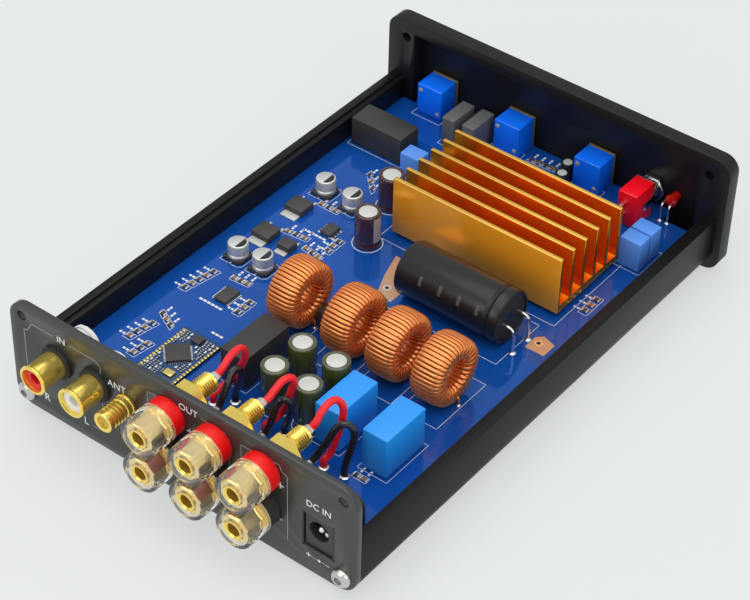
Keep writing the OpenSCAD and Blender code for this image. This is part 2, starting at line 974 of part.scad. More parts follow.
// Turned knob with a hollow back, a bored hub and a pointer groove
module knob(i) {
  x = pot_x[i];
  color("#242425")
    placed()
      difference() {
        union() {
          rod_y(knob_r, knob_y0, knob_y1 - 1, x, control_z);
          cone_y(knob_r, knob_r - 1, knob_y1 - 1, knob_y1, x, control_z);
        }
        rod_y(knob_recess_r, knob_y0 - cut, knob_hole_y, x, control_z);
        rod_y(shaft_r, knob_y0, shaft_y1, x, control_z);
        block(x - 0.5, x + 0.5, knob_y1 - 0.6, knob_y1 + cut, control_z + knob_r / 2, control_z + knob_r + cut);
      }
}

module knob_1() {
  knob(0);
}

module knob_2() {
  knob(1);
}

module knob_3() {
  knob(2);
}

module switch_body() {
  color("#e0141e")
    placed()
      block(switch_x - switch_w / 2, switch_x + switch_w / 2, switch_y1 - switch_l, switch_y1, top,
        top + switch_h);
}

module switch_bushing() {
  color("#c8caca")
    placed() {
      union() {
        difference() {
          union() {
            block(switch_x - switch_w / 2, switch_x + switch_w / 2, switch_y1, switch_y1 + switch_frame, top,
              top + switch_h);
            rod_y(switch_bush_r, switch_y1, switch_bush_y1, switch_x, control_z);
          }
          translate([switch_x, pivot_y, control_z])
            rotate([0, 90, 0])
              sphere(ball_r + run_fit);
          cone_y(lever_r + lever_room, lever_r + lever_room + lever_flare, pivot_y, switch_bush_y1 + 0.4,
            switch_x, control_z);
        }
        rod_x(pivot_pin_r, switch_x - ball_r - pin_seat, switch_x + ball_r + pin_seat, pivot_y, control_z);
      }
      for (s = [-1, 1])
        translate([switch_x + s * (switch_w / 2 + tab_t / 2), 0, 0])
          block(-tab_t / 2, tab_t / 2, switch_y1 - tab_l, switch_y1 + switch_frame, control_z - tab_w / 2,
            control_z + tab_w / 2);
    }
}

module switch_lever() {
  color("#d2d4d4")
    placed()
      translate([switch_x, pivot_y, control_z])
        rotate([-lever_tilt, 0, 0])
          difference() {
            union() {
              rotate([0, 90, 0])
                sphere(ball_r);
              rotate([-90, 0, 0])
                cylinder(r1 = lever_r, r2 = lever_tip_r, h = lever_l);
              translate([0, lever_l, 0])
                sphere(lever_tip_r);
            }
            rod_x(pivot_pin_r + run_fit, -ball_r - cut, ball_r + cut, 0, 0);
          }
}

module power_led() {
  color("#c81414")
    placed() {
      rod_y(led_r + 0.4, led_y0, led_y0 + led_flange, led_x, led_z);
      rod_y(led_r, led_y0, led_y0 + led_l, led_x, led_z);
      translate([led_x, led_y0 + led_l, led_z])
        sphere(led_r);
      for (s = [-1, 1]) {
        x = led_x + s * led_gap / 2;
        rod_y(led_leg_r, led_leg_y, led_y0 + 0.5, x, led_z);
        translate([x, led_leg_y, led_z])
          sphere(led_leg_r);
        rod_z(led_leg_r, top, led_z, x, led_leg_y);
      }
    }
}

module dc_jack() {
  color("#161617")
    placed()
      difference() {
        union() {
          block(dc_x0, dc_x0 + dc_w, dc_y0, dc_y0 + dc_face, top, top + dc_h);
          block(dc_x0 + 0.4, dc_x0 + dc_w - 0.4, dc_y0 + dc_face, dc_y0 + dc_l, top, top + dc_up);
          rod_y(dc_w / 2 - 0.4, dc_y0 + dc_face, dc_y0 + dc_l, dc_x, top + dc_up);
        }
        rod_y(dc_hole_r, dc_y0 - cut, dc_y0 + dc_hole_l, dc_x, top + dc_up);
      }
}

module dc_pin() {
  color("#d9d4c2")
    placed() {
      rod_y(dc_pin_d / 2, dc_y0 + 1.4, dc_y0 + dc_hole_l, dc_x, top + dc_up);
      translate([dc_x, dc_y0 + 1.4, top + dc_up])
        sphere(dc_pin_d / 2);
    }
}

module rca_bodies() {
  color("#e9e9e6")
    placed()
      for (x = rca_x)
        difference() {
          union() {
            rod_y(rca_body_r, rear_t, rear_t + rca_body_l, x, rca_z);
            block(x - rca_body_r, x + rca_body_r, rear_t + 1, rear_t + rca_body_l, top, rca_z);
          }
          rod_y(rca_r + run_fit, rear_t - cut, rear_t + rca_in, x, rca_z);
        }
}

module rca_shells() {
  color("#d8ad45")
    placed()
      for (x = rca_x)
        difference() {
          union() {
            rod_y(rca_r, -rca_reach, rear_t + rca_in, x, rca_z);
            cone_y(rca_r + rca_lip - 0.2, rca_r + rca_lip, -rca_reach, -rca_reach + 0.3, x, rca_z);
            cone_y(rca_r + rca_lip, rca_r, -rca_reach + 0.3, -rca_reach + 1, x, rca_z);
          }
          rod_y(rca_r - rca_wall, -rca_reach - cut, rear_t + rca_in + cut, x, rca_z);
        }
}

module rca_rings() {
  color("#19191a")
    placed()
      for (x = rca_x)
        difference() {
          union() {
            rod_y(rca_ring_r, -rca_ring_t, 0, x, rca_z);
            rod_y(rca_r + 0.45, 0, rear_t, x, rca_z);
          }
          rod_y(rca_r + run_fit, -rca_ring_t - cut, rear_t + cut, x, rca_z);
        }
}

module rca_insert(x) {
  difference() {
    rod_y(rca_r - rca_wall, -rca_reach + 1.2, rear_t + rca_in, x, rca_z);
    rod_y(1.6, -rca_reach, rear_t, x, rca_z);
  }
}

module rca_insert_red() {
  color("#c8202a")
    placed()
      rca_insert(rca_x[0]);
}

module rca_insert_white() {
  color("#ecece8")
    placed()
      rca_insert(rca_x[1]);
}

module antenna_connector() {
  color("#dcb04a")
    placed()
      difference() {
        union() {
          rod_y(aerial_r, -aerial_reach, rear_t + 1, aerial_x, aerial_z);
          hex_y(aerial_nut, -aerial_nut_t, 0, aerial_x, aerial_z);
          block(aerial_x - aerial_block / 2, aerial_x + aerial_block / 2, rear_t + 0.6, rear_t + aerial_back,
            top, aerial_z + aerial_block / 2);
        }
        rod_y(aerial_r - 0.8, -aerial_reach - cut, -aerial_reach + 2.4, aerial_x, aerial_z);
        rod_y(0.7, -aerial_reach, -aerial_reach + 5, aerial_x, aerial_z);
      }
}

// Collar outside the panel with a spigot through it, and a washer inside
module collar(p) {
  difference() {
    union() {
      rod_y(collar_r, -collar_t, 0, p[0], p[1]);
      rod_y(spigot_r, -collar_t, rear_t, p[0], p[1]);
    }
    rod_y(stud_r + run_fit, -collar_t - cut, rear_t + cut, p[0], p[1]);
  }
  difference() {
    rod_y(washer_r, rear_t, rear_t + washer_t, p[0], p[1]);
    rod_y(stud_r + run_fit, rear_t - cut, rear_t + washer_t + cut, p[0], p[1]);
  }
}

module terminal_collars_red() {
  color("#e01c1c")
    placed()
      for (i = [0 : 2])
        collar(post_at[i]);
}

module terminal_collars_black() {
  color("#161617")
    placed()
      for (i = [3 : 5])
        collar(post_at[i]);
}

module terminal_studs() {
  color("#dcb04a")
    placed()
      for (p = post_at)
        difference() {
          union() {
            rod_y(stud_r, -post_reach, stud_in, p[0], p[1]);
            hex_y(nut_af, rear_t + washer_t, rear_t + washer_t + nut_t, p[0], p[1]);
          }
          rod_y(socket_d / 2, -post_reach - cut, -post_reach + socket_l, p[0], p[1]);
        }
}

// Clear turning cap over the gold sleeve of a post
module terminal_cap(i) {
  p = post_at[i];
  color("#dfe4e6")
    placed()
      difference() {
        union() {
          cone_y(cap_d / 2 - 0.6, cap_d / 2, cap_y0, cap_y0 + 0.6, p[0], p[1]);
          rod_y(cap_d / 2, cap_y0 + 0.6, cap_y1, p[0], p[1]);
        }
        rod_y(sleeve_r, cap_y0 + cap_lip, cap_y1 + cut, p[0], p[1]);
        rod_y(stud_r + run_fit, cap_y0 - cut, cap_y0 + cap_lip + cut, p[0], p[1]);
      }
}

module terminal_sleeve(i) {
  p = post_at[i];
  color("#e3bf62")
    placed()
      difference() {
        union() {
          rod_y(sleeve_r, cap_y0 + cap_lip, flange_y1, p[0], p[1]);
          rod_y(cap_d / 2 - 0.4, cap_y1, flange_y1, p[0], p[1]);
        }
        rod_y(stud_r + run_fit, cap_y0, flange_y1 + cut, p[0], p[1]);
      }
}

module terminal_cap_1() {
  terminal_cap(0);
}

module terminal_cap_2() {
  terminal_cap(1);
}

module terminal_cap_3() {
  terminal_cap(2);
}

module terminal_cap_4() {
  terminal_cap(3);
}

module terminal_cap_5() {
  terminal_cap(4);
}

module terminal_cap_6() {
  terminal_cap(5);
}

module terminal_sleeve_1() {
  terminal_sleeve(0);
}

module terminal_sleeve_2() {
  terminal_sleeve(1);
}

module terminal_sleeve_3() {
  terminal_sleeve(2);
}

module terminal_sleeve_4() {
  terminal_sleeve(3);
}

module terminal_sleeve_5() {
  terminal_sleeve(4);
}

module terminal_sleeve_6() {
  terminal_sleeve(5);
}

// Round wire swept along its route: one ring of points at each place
function unit(v) = v / norm(v);
function heading(route, i) =
  unit(route[min(i + 1, len(route) - 1)] - route[max(i - 1, 0)]);
function wire_ring(at, dir) =
  let (
    u = unit([1, 0, 0] - dir[0] * dir),
    v = cross(dir, u)
  )
  [for (k = [0 : 7]) at + wire_r * (cos(45 * k) * u + sin(45 * k) * v)];

module wire(route) {
  n = len(route);
  points = [for (i = [0 : n - 1]) each wire_ring(route[i], heading(route, i))];
  sides = [
    for (i = [0 : n - 2])
      for (k = [0 : 7])
        let (m = (k + 1) % 8)
        each [
          [8 * i + k, 8 * i + m, 8 * i + 8 + m],
          [8 * i + k, 8 * i + 8 + m, 8 * i + 8 + k]
        ]
  ];
  ends = [
    [for (k = [7 : -1 : 0]) k],
    [for (k = [0 : 7]) 8 * (n - 1) + k]
  ];
  polyhedron(points, concat(sides, ends));
}

function route_of(p, bend, end) = concat(
  [[p[0], wire_y0, p[1]]],
  [for (b = bend) [p[0] + b[0], wire_y0 + b[1], p[1] + b[2]]],
  [[end[0], end[1], top + 2.4], [end[0], end[1], top]]
);

module red_wires() {
  color("#e6282d")
    placed()
      for (i = [0 : 2])
        wire(route_of(post_at[i], red_bend[i], red_end[i]));
}

module black_wires() {
  color("#1a1a1b")
    placed()
      for (i = [0 : 2])
        wire(route_of(post_at[i + 3], black_bend[i], black_end[i]));
}

bottom_tray();
rubber_feet();
rear_panel();
front_panel();
screws();
circuit_board();
heatsink();
amplifier_chips();
main_capacitor();
inductor_windings();
inductor_cores();
rail_capacitors();
brown_capacitors();
can_capacitors();
blue_film_caps();
light_film_caps();
grey_film_caps();
relays();
regulators();
logic_chips();
wireless_module();
chip_parts();
pot_bodies();
pot_plates();
panel_nuts();
pot_shaft_1();
pot_shaft_2();
pot_shaft_3();
knob_1();
knob_2();
knob_3();
switch_body();
switch_bushing();
switch_lever();
power_led();
dc_jack();
dc_pin();
rca_bodies();
rca_shells();
rca_rings();
rca_insert_red();
rca_insert_white();
antenna_connector();
terminal_collars_red();
terminal_collars_black();
terminal_studs();
terminal_cap_1();
terminal_cap_2();
terminal_cap_3();
terminal_cap_4();
terminal_cap_5();
terminal_cap_6();
terminal_sleeve_1();
terminal_sleeve_2();
terminal_sleeve_3();
terminal_sleeve_4();
terminal_sleeve_5();
terminal_sleeve_6();
red_wires();
black_wires();
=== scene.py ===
"""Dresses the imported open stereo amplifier: finishes, wound coils, soldered parts and panel print."""

import json
import math
from contextlib import contextmanager

import bmesh
import bpy
from bpy.props import FloatProperty, FloatVectorProperty, IntProperty, PointerProperty
from mathutils import Matrix, Vector

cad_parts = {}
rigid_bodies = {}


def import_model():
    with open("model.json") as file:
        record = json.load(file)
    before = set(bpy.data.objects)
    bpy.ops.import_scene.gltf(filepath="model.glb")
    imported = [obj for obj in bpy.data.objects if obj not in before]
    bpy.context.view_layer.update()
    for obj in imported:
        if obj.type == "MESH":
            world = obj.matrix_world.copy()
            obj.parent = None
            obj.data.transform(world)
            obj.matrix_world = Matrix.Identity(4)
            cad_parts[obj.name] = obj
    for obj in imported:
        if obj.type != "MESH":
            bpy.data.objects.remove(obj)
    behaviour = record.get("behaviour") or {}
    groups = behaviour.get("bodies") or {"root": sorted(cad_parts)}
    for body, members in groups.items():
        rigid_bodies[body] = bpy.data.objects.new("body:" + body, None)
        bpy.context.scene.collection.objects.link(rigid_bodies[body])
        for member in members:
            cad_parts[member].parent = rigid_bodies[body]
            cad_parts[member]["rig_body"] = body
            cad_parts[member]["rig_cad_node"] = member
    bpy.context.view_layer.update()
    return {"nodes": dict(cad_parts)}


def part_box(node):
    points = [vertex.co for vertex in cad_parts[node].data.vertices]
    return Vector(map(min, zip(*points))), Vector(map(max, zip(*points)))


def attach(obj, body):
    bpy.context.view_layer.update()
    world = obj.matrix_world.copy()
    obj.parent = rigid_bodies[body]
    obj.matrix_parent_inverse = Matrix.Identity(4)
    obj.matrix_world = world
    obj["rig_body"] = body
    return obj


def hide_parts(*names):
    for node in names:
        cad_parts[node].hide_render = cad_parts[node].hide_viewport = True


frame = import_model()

bl_info = {
    "name": "Open stereo amplifier",
    "version": (1, 0, 0),
    "blender": (4, 5, 0),
    "location": "View3D > Sidebar > Amplifier",
    "description": "Dresses the packed amplifier with its finishes and fine parts",
    "category": "Object",
}

MM = 0.001
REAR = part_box("rear_panel")[0].y / MM
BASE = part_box("bottom_tray")[0].z / MM
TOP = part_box("circuit_board")[1].z / MM - BASE
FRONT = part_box("front_panel")[1].y / MM - REAR
MAIN = "amplifier"
INK_THICK = 0.03

# Places in millimetres from the rear panel's face and the tray's underside: x and z on a panel, x and y on the board
POSTS = [(x, z) for z in (27.4, 14.8) for x in (-2.5, 13.5, 29.5)]
SOCKETS = ((-42.9, 22.4), (-28.9, 22.4))
AERIAL = (-17.8, 21.8)
SUPPLY = (47.5, 0.4, TOP + 6.5)
PANEL_SCREW = (55.5, 4.8)
SINK_SCREWS = ((-11.0, 128.85), (38.4, 128.85))
SINK_FACE, SINK_TOPS, SINK_FLOOR = 113.5, 30.25, TOP + 5.1
BOARD_UNDER = TOP - 1.6
COILS = ((-12.9, 66.4), (6.5, 66.4), (22.1, 66.4), (37.8, 66.4))
COIL_Z = TOP + 10.6
COIL_LEG = 5.4
RAIL_CAPS = ((4.6, 34.4), (16.4, 34.4), (4.6, 46.2), (16.4, 46.2))
BROWN_CAPS = ((-19.3, 105.7), (-24.7, 124.1))
CAN_CAPS = ((-44.5, 76.5), (-35.4, 76.9), (-43.8, 116.5), (-33, 115.9))
BEAD_CAPS = ((10, 164), (8.4, 169.4))
MAIN_CAP = (3, 97, TOP + 8.5)
MAIN_LEADS = ((42.2, 93.25), (42.2, 100.75))
RED_ENDS = ((-9.4, 25), (9, 25), (29.6, 24.6))
BLACK_ENDS = ((-5, 29), (13.4, 28), (36, 25.4))
RING_PADS = ((-2.2, 93.1), (-2.2, 100.9), (45.6, 101.2))
RADIO_CHIP = (-29.2, 32.7, TOP + 1)
POTS = (-43.1, -13.4, 16.3)
CONTROL_Z = 15
SWITCH_X = 35.1
LAMP = (43.2, 172.8, 15.3)
LAMP_FEET = ((41.93, 170), (44.47, 170))
# Rows of small parts: the first one's x and y, the step to the next, how many
CHIP_ROWS = (
    (-47.4, 56.2, 0.5, 2.6, 5), (-39, 68.4, 2.3, 0.2, 3), (-28.4, 57.6, 0, 2.6, 3), (-45.5, 30.6, 0.5, 2.6, 4),
    (-40, 26, 0.4, 2.6, 3), (-44.5, 43.6, 2.4, -1.2, 3), (-40.6, 94.8, 2.9, 0.3, 3), (-25.9, 100.4, 0, -2.6, 3),
    (-41, 111.3, 2.6, 0, 3), (-38.6, 131.6, 2.4, -2.4, 3), (-31.4, 92, 2.6, -0.4, 3), (-4.8, 169.4, 2.6, 0.2, 4),
    (38.4, 27.6, 2.4, 0, 2), (48, 121, 0, 3, 3),
)


class AmplifierSizes(bpy.types.PropertyGroup):
    """Sizes of the fine parts"""

    edge: FloatProperty(name="Edge", description="Softened edge of the case metal", default=0.00025, unit="LENGTH")
    wire: FloatProperty(name="Coil wire", description="Thickness of the coil wire", default=0.00112, unit="LENGTH")
    turns: IntProperty(name="Turns", description="Turns of wire on a coil", default=48, min=20, max=80)
    ink: FloatProperty(name="Ink line", description="Width of a printed line", default=0.00014, unit="LENGTH")


class AmplifierColours(bpy.types.PropertyGroup):
    """Colours of the finishes"""

    mask: FloatVectorProperty(name="Board mask", description="Blue of the board", subtype="COLOR",
                              default=(0.006, 0.088, 0.43))
    sink: FloatVectorProperty(name="Heatsink", description="Gold of the heatsink", subtype="COLOR",
                              default=(1.0, 0.38, 0.02))
    copper: FloatVectorProperty(name="Copper", description="Enamelled copper wire", subtype="COLOR",
                                default=(1.0, 0.30, 0.085))
    film: FloatVectorProperty(name="Film capacitor", description="Bright blue film capacitors", subtype="COLOR",
                              default=(0.018, 0.30, 0.86))
    pot: FloatVectorProperty(name="Control body", description="Blue of the control bodies", subtype="COLOR",
                             default=(0.003, 0.16, 1.0))
    collar: FloatVectorProperty(name="Collar", description="Red of the post collars", subtype="COLOR",
                                default=(0.86, 0.006, 0.005))


class Flow:
    """A value socket that takes part in Python sums"""

    def __init__(self, nodes, socket):
        self.nodes = nodes
        self.socket = socket

    def sum(self, operation, *values):
        return self.nodes.node("ShaderNodeMath", {"operation": operation}, dict(enumerate(values)))

    def __add__(self, other):
        return self.sum("ADD", self, other)

    __radd__ = __add__

    def __mul__(self, other):
        return self.sum("MULTIPLY", self, other)

    __rmul__ = __mul__

    def __gt__(self, other):
        return self.sum("GREATER_THAN", self, other)


class Nodes:
    """A node tree and the one method that adds to it"""

    def __init__(self, tree):
        self.tree = tree

    def node(self, kind, settings=None, inputs=None, output=0):
        made = self.tree.nodes.new(kind)
        for key, value in (settings or {}).items():
            if key == "stops":
                for stop, (place, colour) in zip(made.color_ramp.elements, value):
                    stop.position = place
                    stop.color = colour
            else:
                setattr(made, key, value)
        for key, value in (inputs or {}).items():
            if isinstance(value, Flow):
                self.tree.links.new(value.socket, made.inputs[key])
            else:
                made.inputs[key].default_value = value
        return Flow(self, made.outputs[output])


class Finish(Nodes):
    """One procedural material"""

    def __init__(self, name, colour, roughness, fixed=None):
        self.material = bpy.data.materials.new(name)
        self.material.use_nodes = True
        super().__init__(self.material.node_tree)
        self.shader = self.tree.nodes["Principled BSDF"]
        self.shader.inputs["Base Color"].default_value = (*colour, 1)
        self.shader.inputs["Roughness"].default_value = roughness
        for label, value in (fixed or {}).items():
            self.shader.inputs[label].default_value = value

    def feed(self, label, flow):
        self.tree.links.new(flow.socket, self.shader.inputs[label])

    def spot(self, stretch=(1, 1, 1)):
        place = self.node("ShaderNodeTexCoord", output="Object")
        return self.node("ShaderNodeMapping", None, {"Vector": place, "Scale": stretch})

    def noise(self, scale, detail=3, stretch=(1, 1, 1)):
        return self.node("ShaderNodeTexNoise", None,
                         {"Vector": self.spot(stretch), "Scale": scale, "Detail": detail}, "Fac")

    def mix(self, factor, first, second):
        first, second = (c if isinstance(c, Flow) else (*c, 1) for c in (first, second))
        return self.node("ShaderNodeMix", {"data_type": "RGBA"}, {0: factor, 6: first, 7: second}, 2)

    def bump(self, height, strength):
        self.feed("Normal", self.node("ShaderNodeBump", None,
                                      {"Height": height, "Strength": strength, "Distance": 0.1 * MM}))


def tint(colour, share):
    """The colour, lighter or darker by a share."""
    return tuple(min(1, c * share) for c in colour)


def grained(name, colour, roughness, fixed, scale=1500, stretch=(1, 1, 1), depth=0.12, tone=0.12):
    """A finish with a fine grain in its colour, gloss and surface."""
    finish = Finish(name, colour, roughness, fixed)
    grain = finish.noise(scale, 3, stretch)
    finish.feed("Base Color", finish.mix(grain, tint(colour, 1 - tone), tint(colour, 1 + tone)))
    vary = 0.1
    finish.feed("Roughness", grain * vary + (roughness - vary / 2))
    finish.bump(grain, depth)
    return finish.material


def board_mask(colour):
    """Glossy solder mask over wide copper planes, with faint tracks."""
    finish = Finish("board_mask", colour, 0.2, {"IOR": 1.45, "Metallic": 0.2})
    planes = finish.node("ShaderNodeTexVoronoi", {"distance": "CHEBYCHEV", "feature": "F1"},
                         {"Vector": finish.spot((1, 1, 0)), "Scale": 34.0, "Randomness": 0.85}, "Color")
    tone = finish.node("ShaderNodeSeparateColor", None, {0: planes}, "Red")
    tracks = finish.node("ShaderNodeTexWave", {"bands_direction": "DIAGONAL", "wave_profile": "SAW"},
                         {"Vector": finish.spot((1, 1, 0)), "Scale": 120.0, "Distortion": 1.5, "Detail": 1.0}, "Fac")
    level = tone * 0.22 + (tracks > 0.93) * 0.16 + finish.noise(60, 2) * 0.3
    finish.feed("Base Color", finish.mix(level, tint(colour, 0.86), tint(colour, 1.25)))
    finish.feed("Roughness", finish.noise(260, 2) * 0.05 + 0.06)
    finish.bump(finish.noise(900, 2), 0.015)
    return finish.material


def sink_gold(colour):
    """Gold anodising with painted light: a deeper amber painted in the channels as shade, a paler gold painted on the
    fin tops as a highlight, and softer (less metallic) on the outer face.
    """
    finish = Finish("sink_gold", colour, 0.22)
    grain = finish.noise(1500, 3, (0.03, 1, 1))
    place = finish.node("ShaderNodeTexCoord", output="Object")
    limit = at(0, SINK_FACE, SINK_TOPS)
    inner = finish.node("ShaderNodeSeparateXYZ", None, {0: place}, "Y") > limit.y
    painted_highlight_tops = finish.node("ShaderNodeSeparateXYZ", None, {0: place}, "Z") > limit.z
    # Painted shade: the channel walls behind the outer face take a deeper amber than the face
    painted_channel_shade = tuple(c * share for c, share in zip(colour, (0.78, 0.7, 0.6)))
    walls_with_painted_shade = finish.mix(inner, colour, painted_channel_shade)
    # Painted highlight: the fin tops take a paler gold
    finish.feed("Base Color", finish.mix(painted_highlight_tops, walls_with_painted_shade, (1.0, 0.58, 0.11)))
    finish.feed("Metallic", inner * 0.5 + 0.4)
    finish.feed("Roughness", grain * 0.1 + 0.17)
    finish.bump(grain, 0.06)
    return finish.material


def clear_plastic():
    """Clear moulded cap with a trace of haze."""
    finish = Finish("clear_plastic", (0.98, 0.97, 0.97), 0.04,
                    {"IOR": 1.14, "Transmission Weight": 0.965, "Coat Weight": 0.7, "Coat Roughness": 0.03})
    haze = finish.noise(900, 2)
    finish.feed("Base Color", finish.mix(haze, (0.97, 0.955, 0.96), (0.99, 0.985, 0.985)))
    finish.feed("Roughness", haze * 0.04 + 0.02)
    return finish.material


# Grained finishes: a colour or the name of its setting, roughness, fixed shader values, values of the grain
GLOSS = {"Coat Weight": 0.5, "Coat Roughness": 0.08}
GRAINED = {
    "tray_black": ((0.006, 0.006, 0.0065), 0.42, {"IOR": 1.3},
                   {"scale": 1200, "stretch": (1, 0.02, 1), "depth": 0.06}),
    "rear_dark": ((0.068, 0.070, 0.069), 0.34, {"Metallic": 0.55}, {"scale": 2600, "tone": 0.06, "depth": 0.02}),
    "front_black": ((0.008, 0.008, 0.009), 0.4, {"IOR": 1.35},
                    {"scale": 1600, "stretch": (0.02, 1, 1), "depth": 0.2}),
    "module_mask": ((0.012, 0.055, 0.17), 0.25, {}, {"scale": 700, "tone": 0.3}),
    "ink_white": ((0.78, 0.80, 0.80), 0.55, {}, {"scale": 3000}),
    "ink_grey": ((0.33, 0.34, 0.35), 0.5, {}, {"scale": 3000}),
    "ink_black": ((0.01, 0.01, 0.011), 0.45, {}, {"scale": 3000}),
    "copper": ("copper", 0.22, {"Metallic": 0.7}, {"scale": 600, "tone": 0.16}),
    "core_dark": ((0.10, 0.018, 0.008), 0.6, {}, {}),
    "tin": ((0.82, 0.82, 0.80), 0.28, {"Metallic": 1.0}, {}),
    "nickel": ((0.62, 0.62, 0.60), 0.18, {"Metallic": 1.0}, {"depth": 0.05}),
    "gold": ((1.0, 0.72, 0.16), 0.16, {"Metallic": 0.82}, {"scale": 900, "depth": 0.03, "tone": 0.06}),
    "pale_gold": ((1.0, 0.74, 0.25), 0.13, {"Metallic": 0.97}, {"scale": 900, "depth": 0.03, "tone": 0.06}),
    "can_silver": ((0.68, 0.685, 0.67), 0.42, {"Metallic": 0.7}, {"scale": 2200}),
    "lid_white": ((0.62, 0.63, 0.59), 0.4, {"Metallic": 0.2}, {"scale": 2200, "tone": 0.06}),
    "bare_copper": ((0.62, 0.40, 0.27), 0.34, {"Metallic": 0.5}, {"scale": 500, "tone": 0.2}),
    "ink_faint": ((0.06, 0.062, 0.062), 0.5, {}, {"scale": 3000}),
    "sleeve_black": ((0.010, 0.010, 0.011), 0.3, {"IOR": 1.45}, {"scale": 500}),
    "sleeve_olive": ((0.060, 0.072, 0.008), 0.2, GLOSS, {"scale": 500}),
    # Painted sheen: the rolled rim of the rail capacitors takes a paler, greyer olive than their sleeves
    "rim_olive": ((0.07, 0.08, 0.03), 0.12, GLOSS, {"scale": 500}),
    "sleeve_brown": ((0.045, 0.011, 0.012), 0.24, GLOSS, {"scale": 500}),
    "moulded_black": ((0.030, 0.029, 0.027), 0.5, {}, {"scale": 1400}),
    "chip_black": ((0.050, 0.046, 0.044), 0.5, {}, {"scale": 2600}),
    "chip_tan": ((0.24, 0.14, 0.065), 0.5, {}, {"scale": 2600}),
    "film_blue": ("film", 0.34, {}, {"scale": 700, "tone": 0.06}),
    "film_light": ((0.10, 0.29, 0.82), 0.36, {}, {"scale": 700, "tone": 0.06}),
    "film_grey": ((0.11, 0.115, 0.12), 0.45, {}, {"scale": 700, "tone": 0.1}),
    "pot_blue": ("pot", 0.3, {}, {"scale": 900, "tone": 0.06}),
    "switch_red": ((0.92, 0.003, 0.014), 0.3, {}, {"scale": 900, "tone": 0.06}),
    "lamp_red": ((0.78, 0.01, 0.006), 0.12, {"Transmission Weight": 0.35}, {"scale": 500}),
    "nylon": ((0.78, 0.79, 0.76), 0.4, {}, {"scale": 900, "tone": 0.04}),
    "insert_red": ((0.66, 0.012, 0.014), 0.32, {}, {"scale": 900}),
    "collar_red": ("collar", 0.35, {}, {"scale": 900, "tone": 0.06}),
    "plate_brass": ((0.30, 0.25, 0.14), 0.4, {"Metallic": 0.6}, {"scale": 1800}),
    "wire_red": ((0.86, 0.012, 0.020), 0.38, {}, {"scale": 700, "tone": 0.08}),
    "wire_black": ((0.011, 0.011, 0.012), 0.28, {"Coat Weight": 0.3}, {"scale": 700}),
    "rubber": ((0.012, 0.012, 0.012), 0.7, {}, {"scale": 1800}),
    "knob_black": ((0.016, 0.016, 0.017), 0.35, {}, {"scale": 1600, "stretch": (1, 0.05, 1)}),
}
MADE = {}


def finish_of(name):
    """The material of that name, made on first use."""
    if name not in MADE:
        colours = bpy.context.scene.amplifier_colours
        if name == "board_mask":
            MADE[name] = board_mask(tuple(colours.mask))
        elif name == "sink_gold":
            MADE[name] = sink_gold(tuple(colours.sink))
        elif name == "clear":
            MADE[name] = clear_plastic()
        else:
            colour, roughness, fixed, grain = GRAINED[name]
            if isinstance(colour, str):
                colour = tuple(getattr(colours, colour))
            MADE[name] = grained(name, colour, roughness, fixed, **grain)
    return MADE[name]


def at(x, y, z):
    """Case millimetres to frame metres."""
    return Vector((x, y + REAR, z + BASE)) * MM


def only(*pieces):
    """Select these objects alone."""
    bpy.ops.object.select_all(action="DESELECT")
    for piece in pieces:
        piece.select_set(True)
    bpy.context.view_layer.objects.active = pieces[0]


def fresh(add, **settings):
    """Add an object with nothing else selected."""
    bpy.ops.object.select_all(action="DESELECT")
    add(**settings)
    return bpy.context.active_object


def joined(*pieces):
    """These objects as one."""
    only(*pieces)
    bpy.ops.object.join()
    return bpy.context.active_object


def settle(*pieces):
    """Put the place of each piece into its mesh."""
    only(*pieces)
    bpy.ops.object.transform_apply(location=True, rotation=True, scale=True)
    return pieces[0]


@contextmanager
def edit(piece, kind="FACE", action="SELECT"):
    """Edit mode on one piece, with all or nothing selected."""
    only(piece)
    bpy.ops.object.mode_set(mode="EDIT")
    bpy.ops.mesh.select_mode(type=kind)
    bpy.ops.mesh.select_all(action=action)
    yield
    bpy.ops.object.mode_set(mode="OBJECT")


def outward():
    """Point every face of the mesh in edit mode outwards."""
    bpy.ops.mesh.select_all(action="SELECT")
    bpy.ops.mesh.normals_make_consistent(inside=False)


def pick(piece, test, kind="faces"):
    """Select what passes a test of its place, in edit mode."""
    mesh = bmesh.from_edit_mesh(piece.data)
    for part in getattr(mesh, kind):
        part.select_set(bool(test(part)))
    bmesh.update_edit_mesh(piece.data)


def modify(piece, kind, **settings):
    """Add a modifier and apply it."""
    only(piece)
    change = piece.modifiers.new(kind.title(), kind)
    for key, value in settings.items():
        setattr(change, key, value)
    bpy.ops.object.modifier_apply(modifier=change.name)
    return piece


def soft_edges(piece, edge, segments=2):
    """Round the sharp edges, in millimetres."""
    return modify(piece, "BEVEL", width=edge * MM, segments=segments, limit_method="ANGLE",
                  angle_limit=math.radians(40), harden_normals=False)


def block(low, high, edge=0.15, segments=2):
    """A box between two corners with rounded edges."""
    low, high = Vector(low), Vector(high)
    piece = fresh(bpy.ops.mesh.primitive_cube_add, size=1, location=at(*((low + high) / 2)))
    piece.scale = (high - low) * MM
    settle(piece)
    return soft_edges(piece, edge, segments) if edge else piece


TURN = {"Z": (0, 0, 0), "-Z": (math.pi, 0, 0), "Y": (-math.pi / 2, 0, 0), "-Y": (math.pi / 2, 0, 0),
        "X": (0, math.pi / 2, 0)}


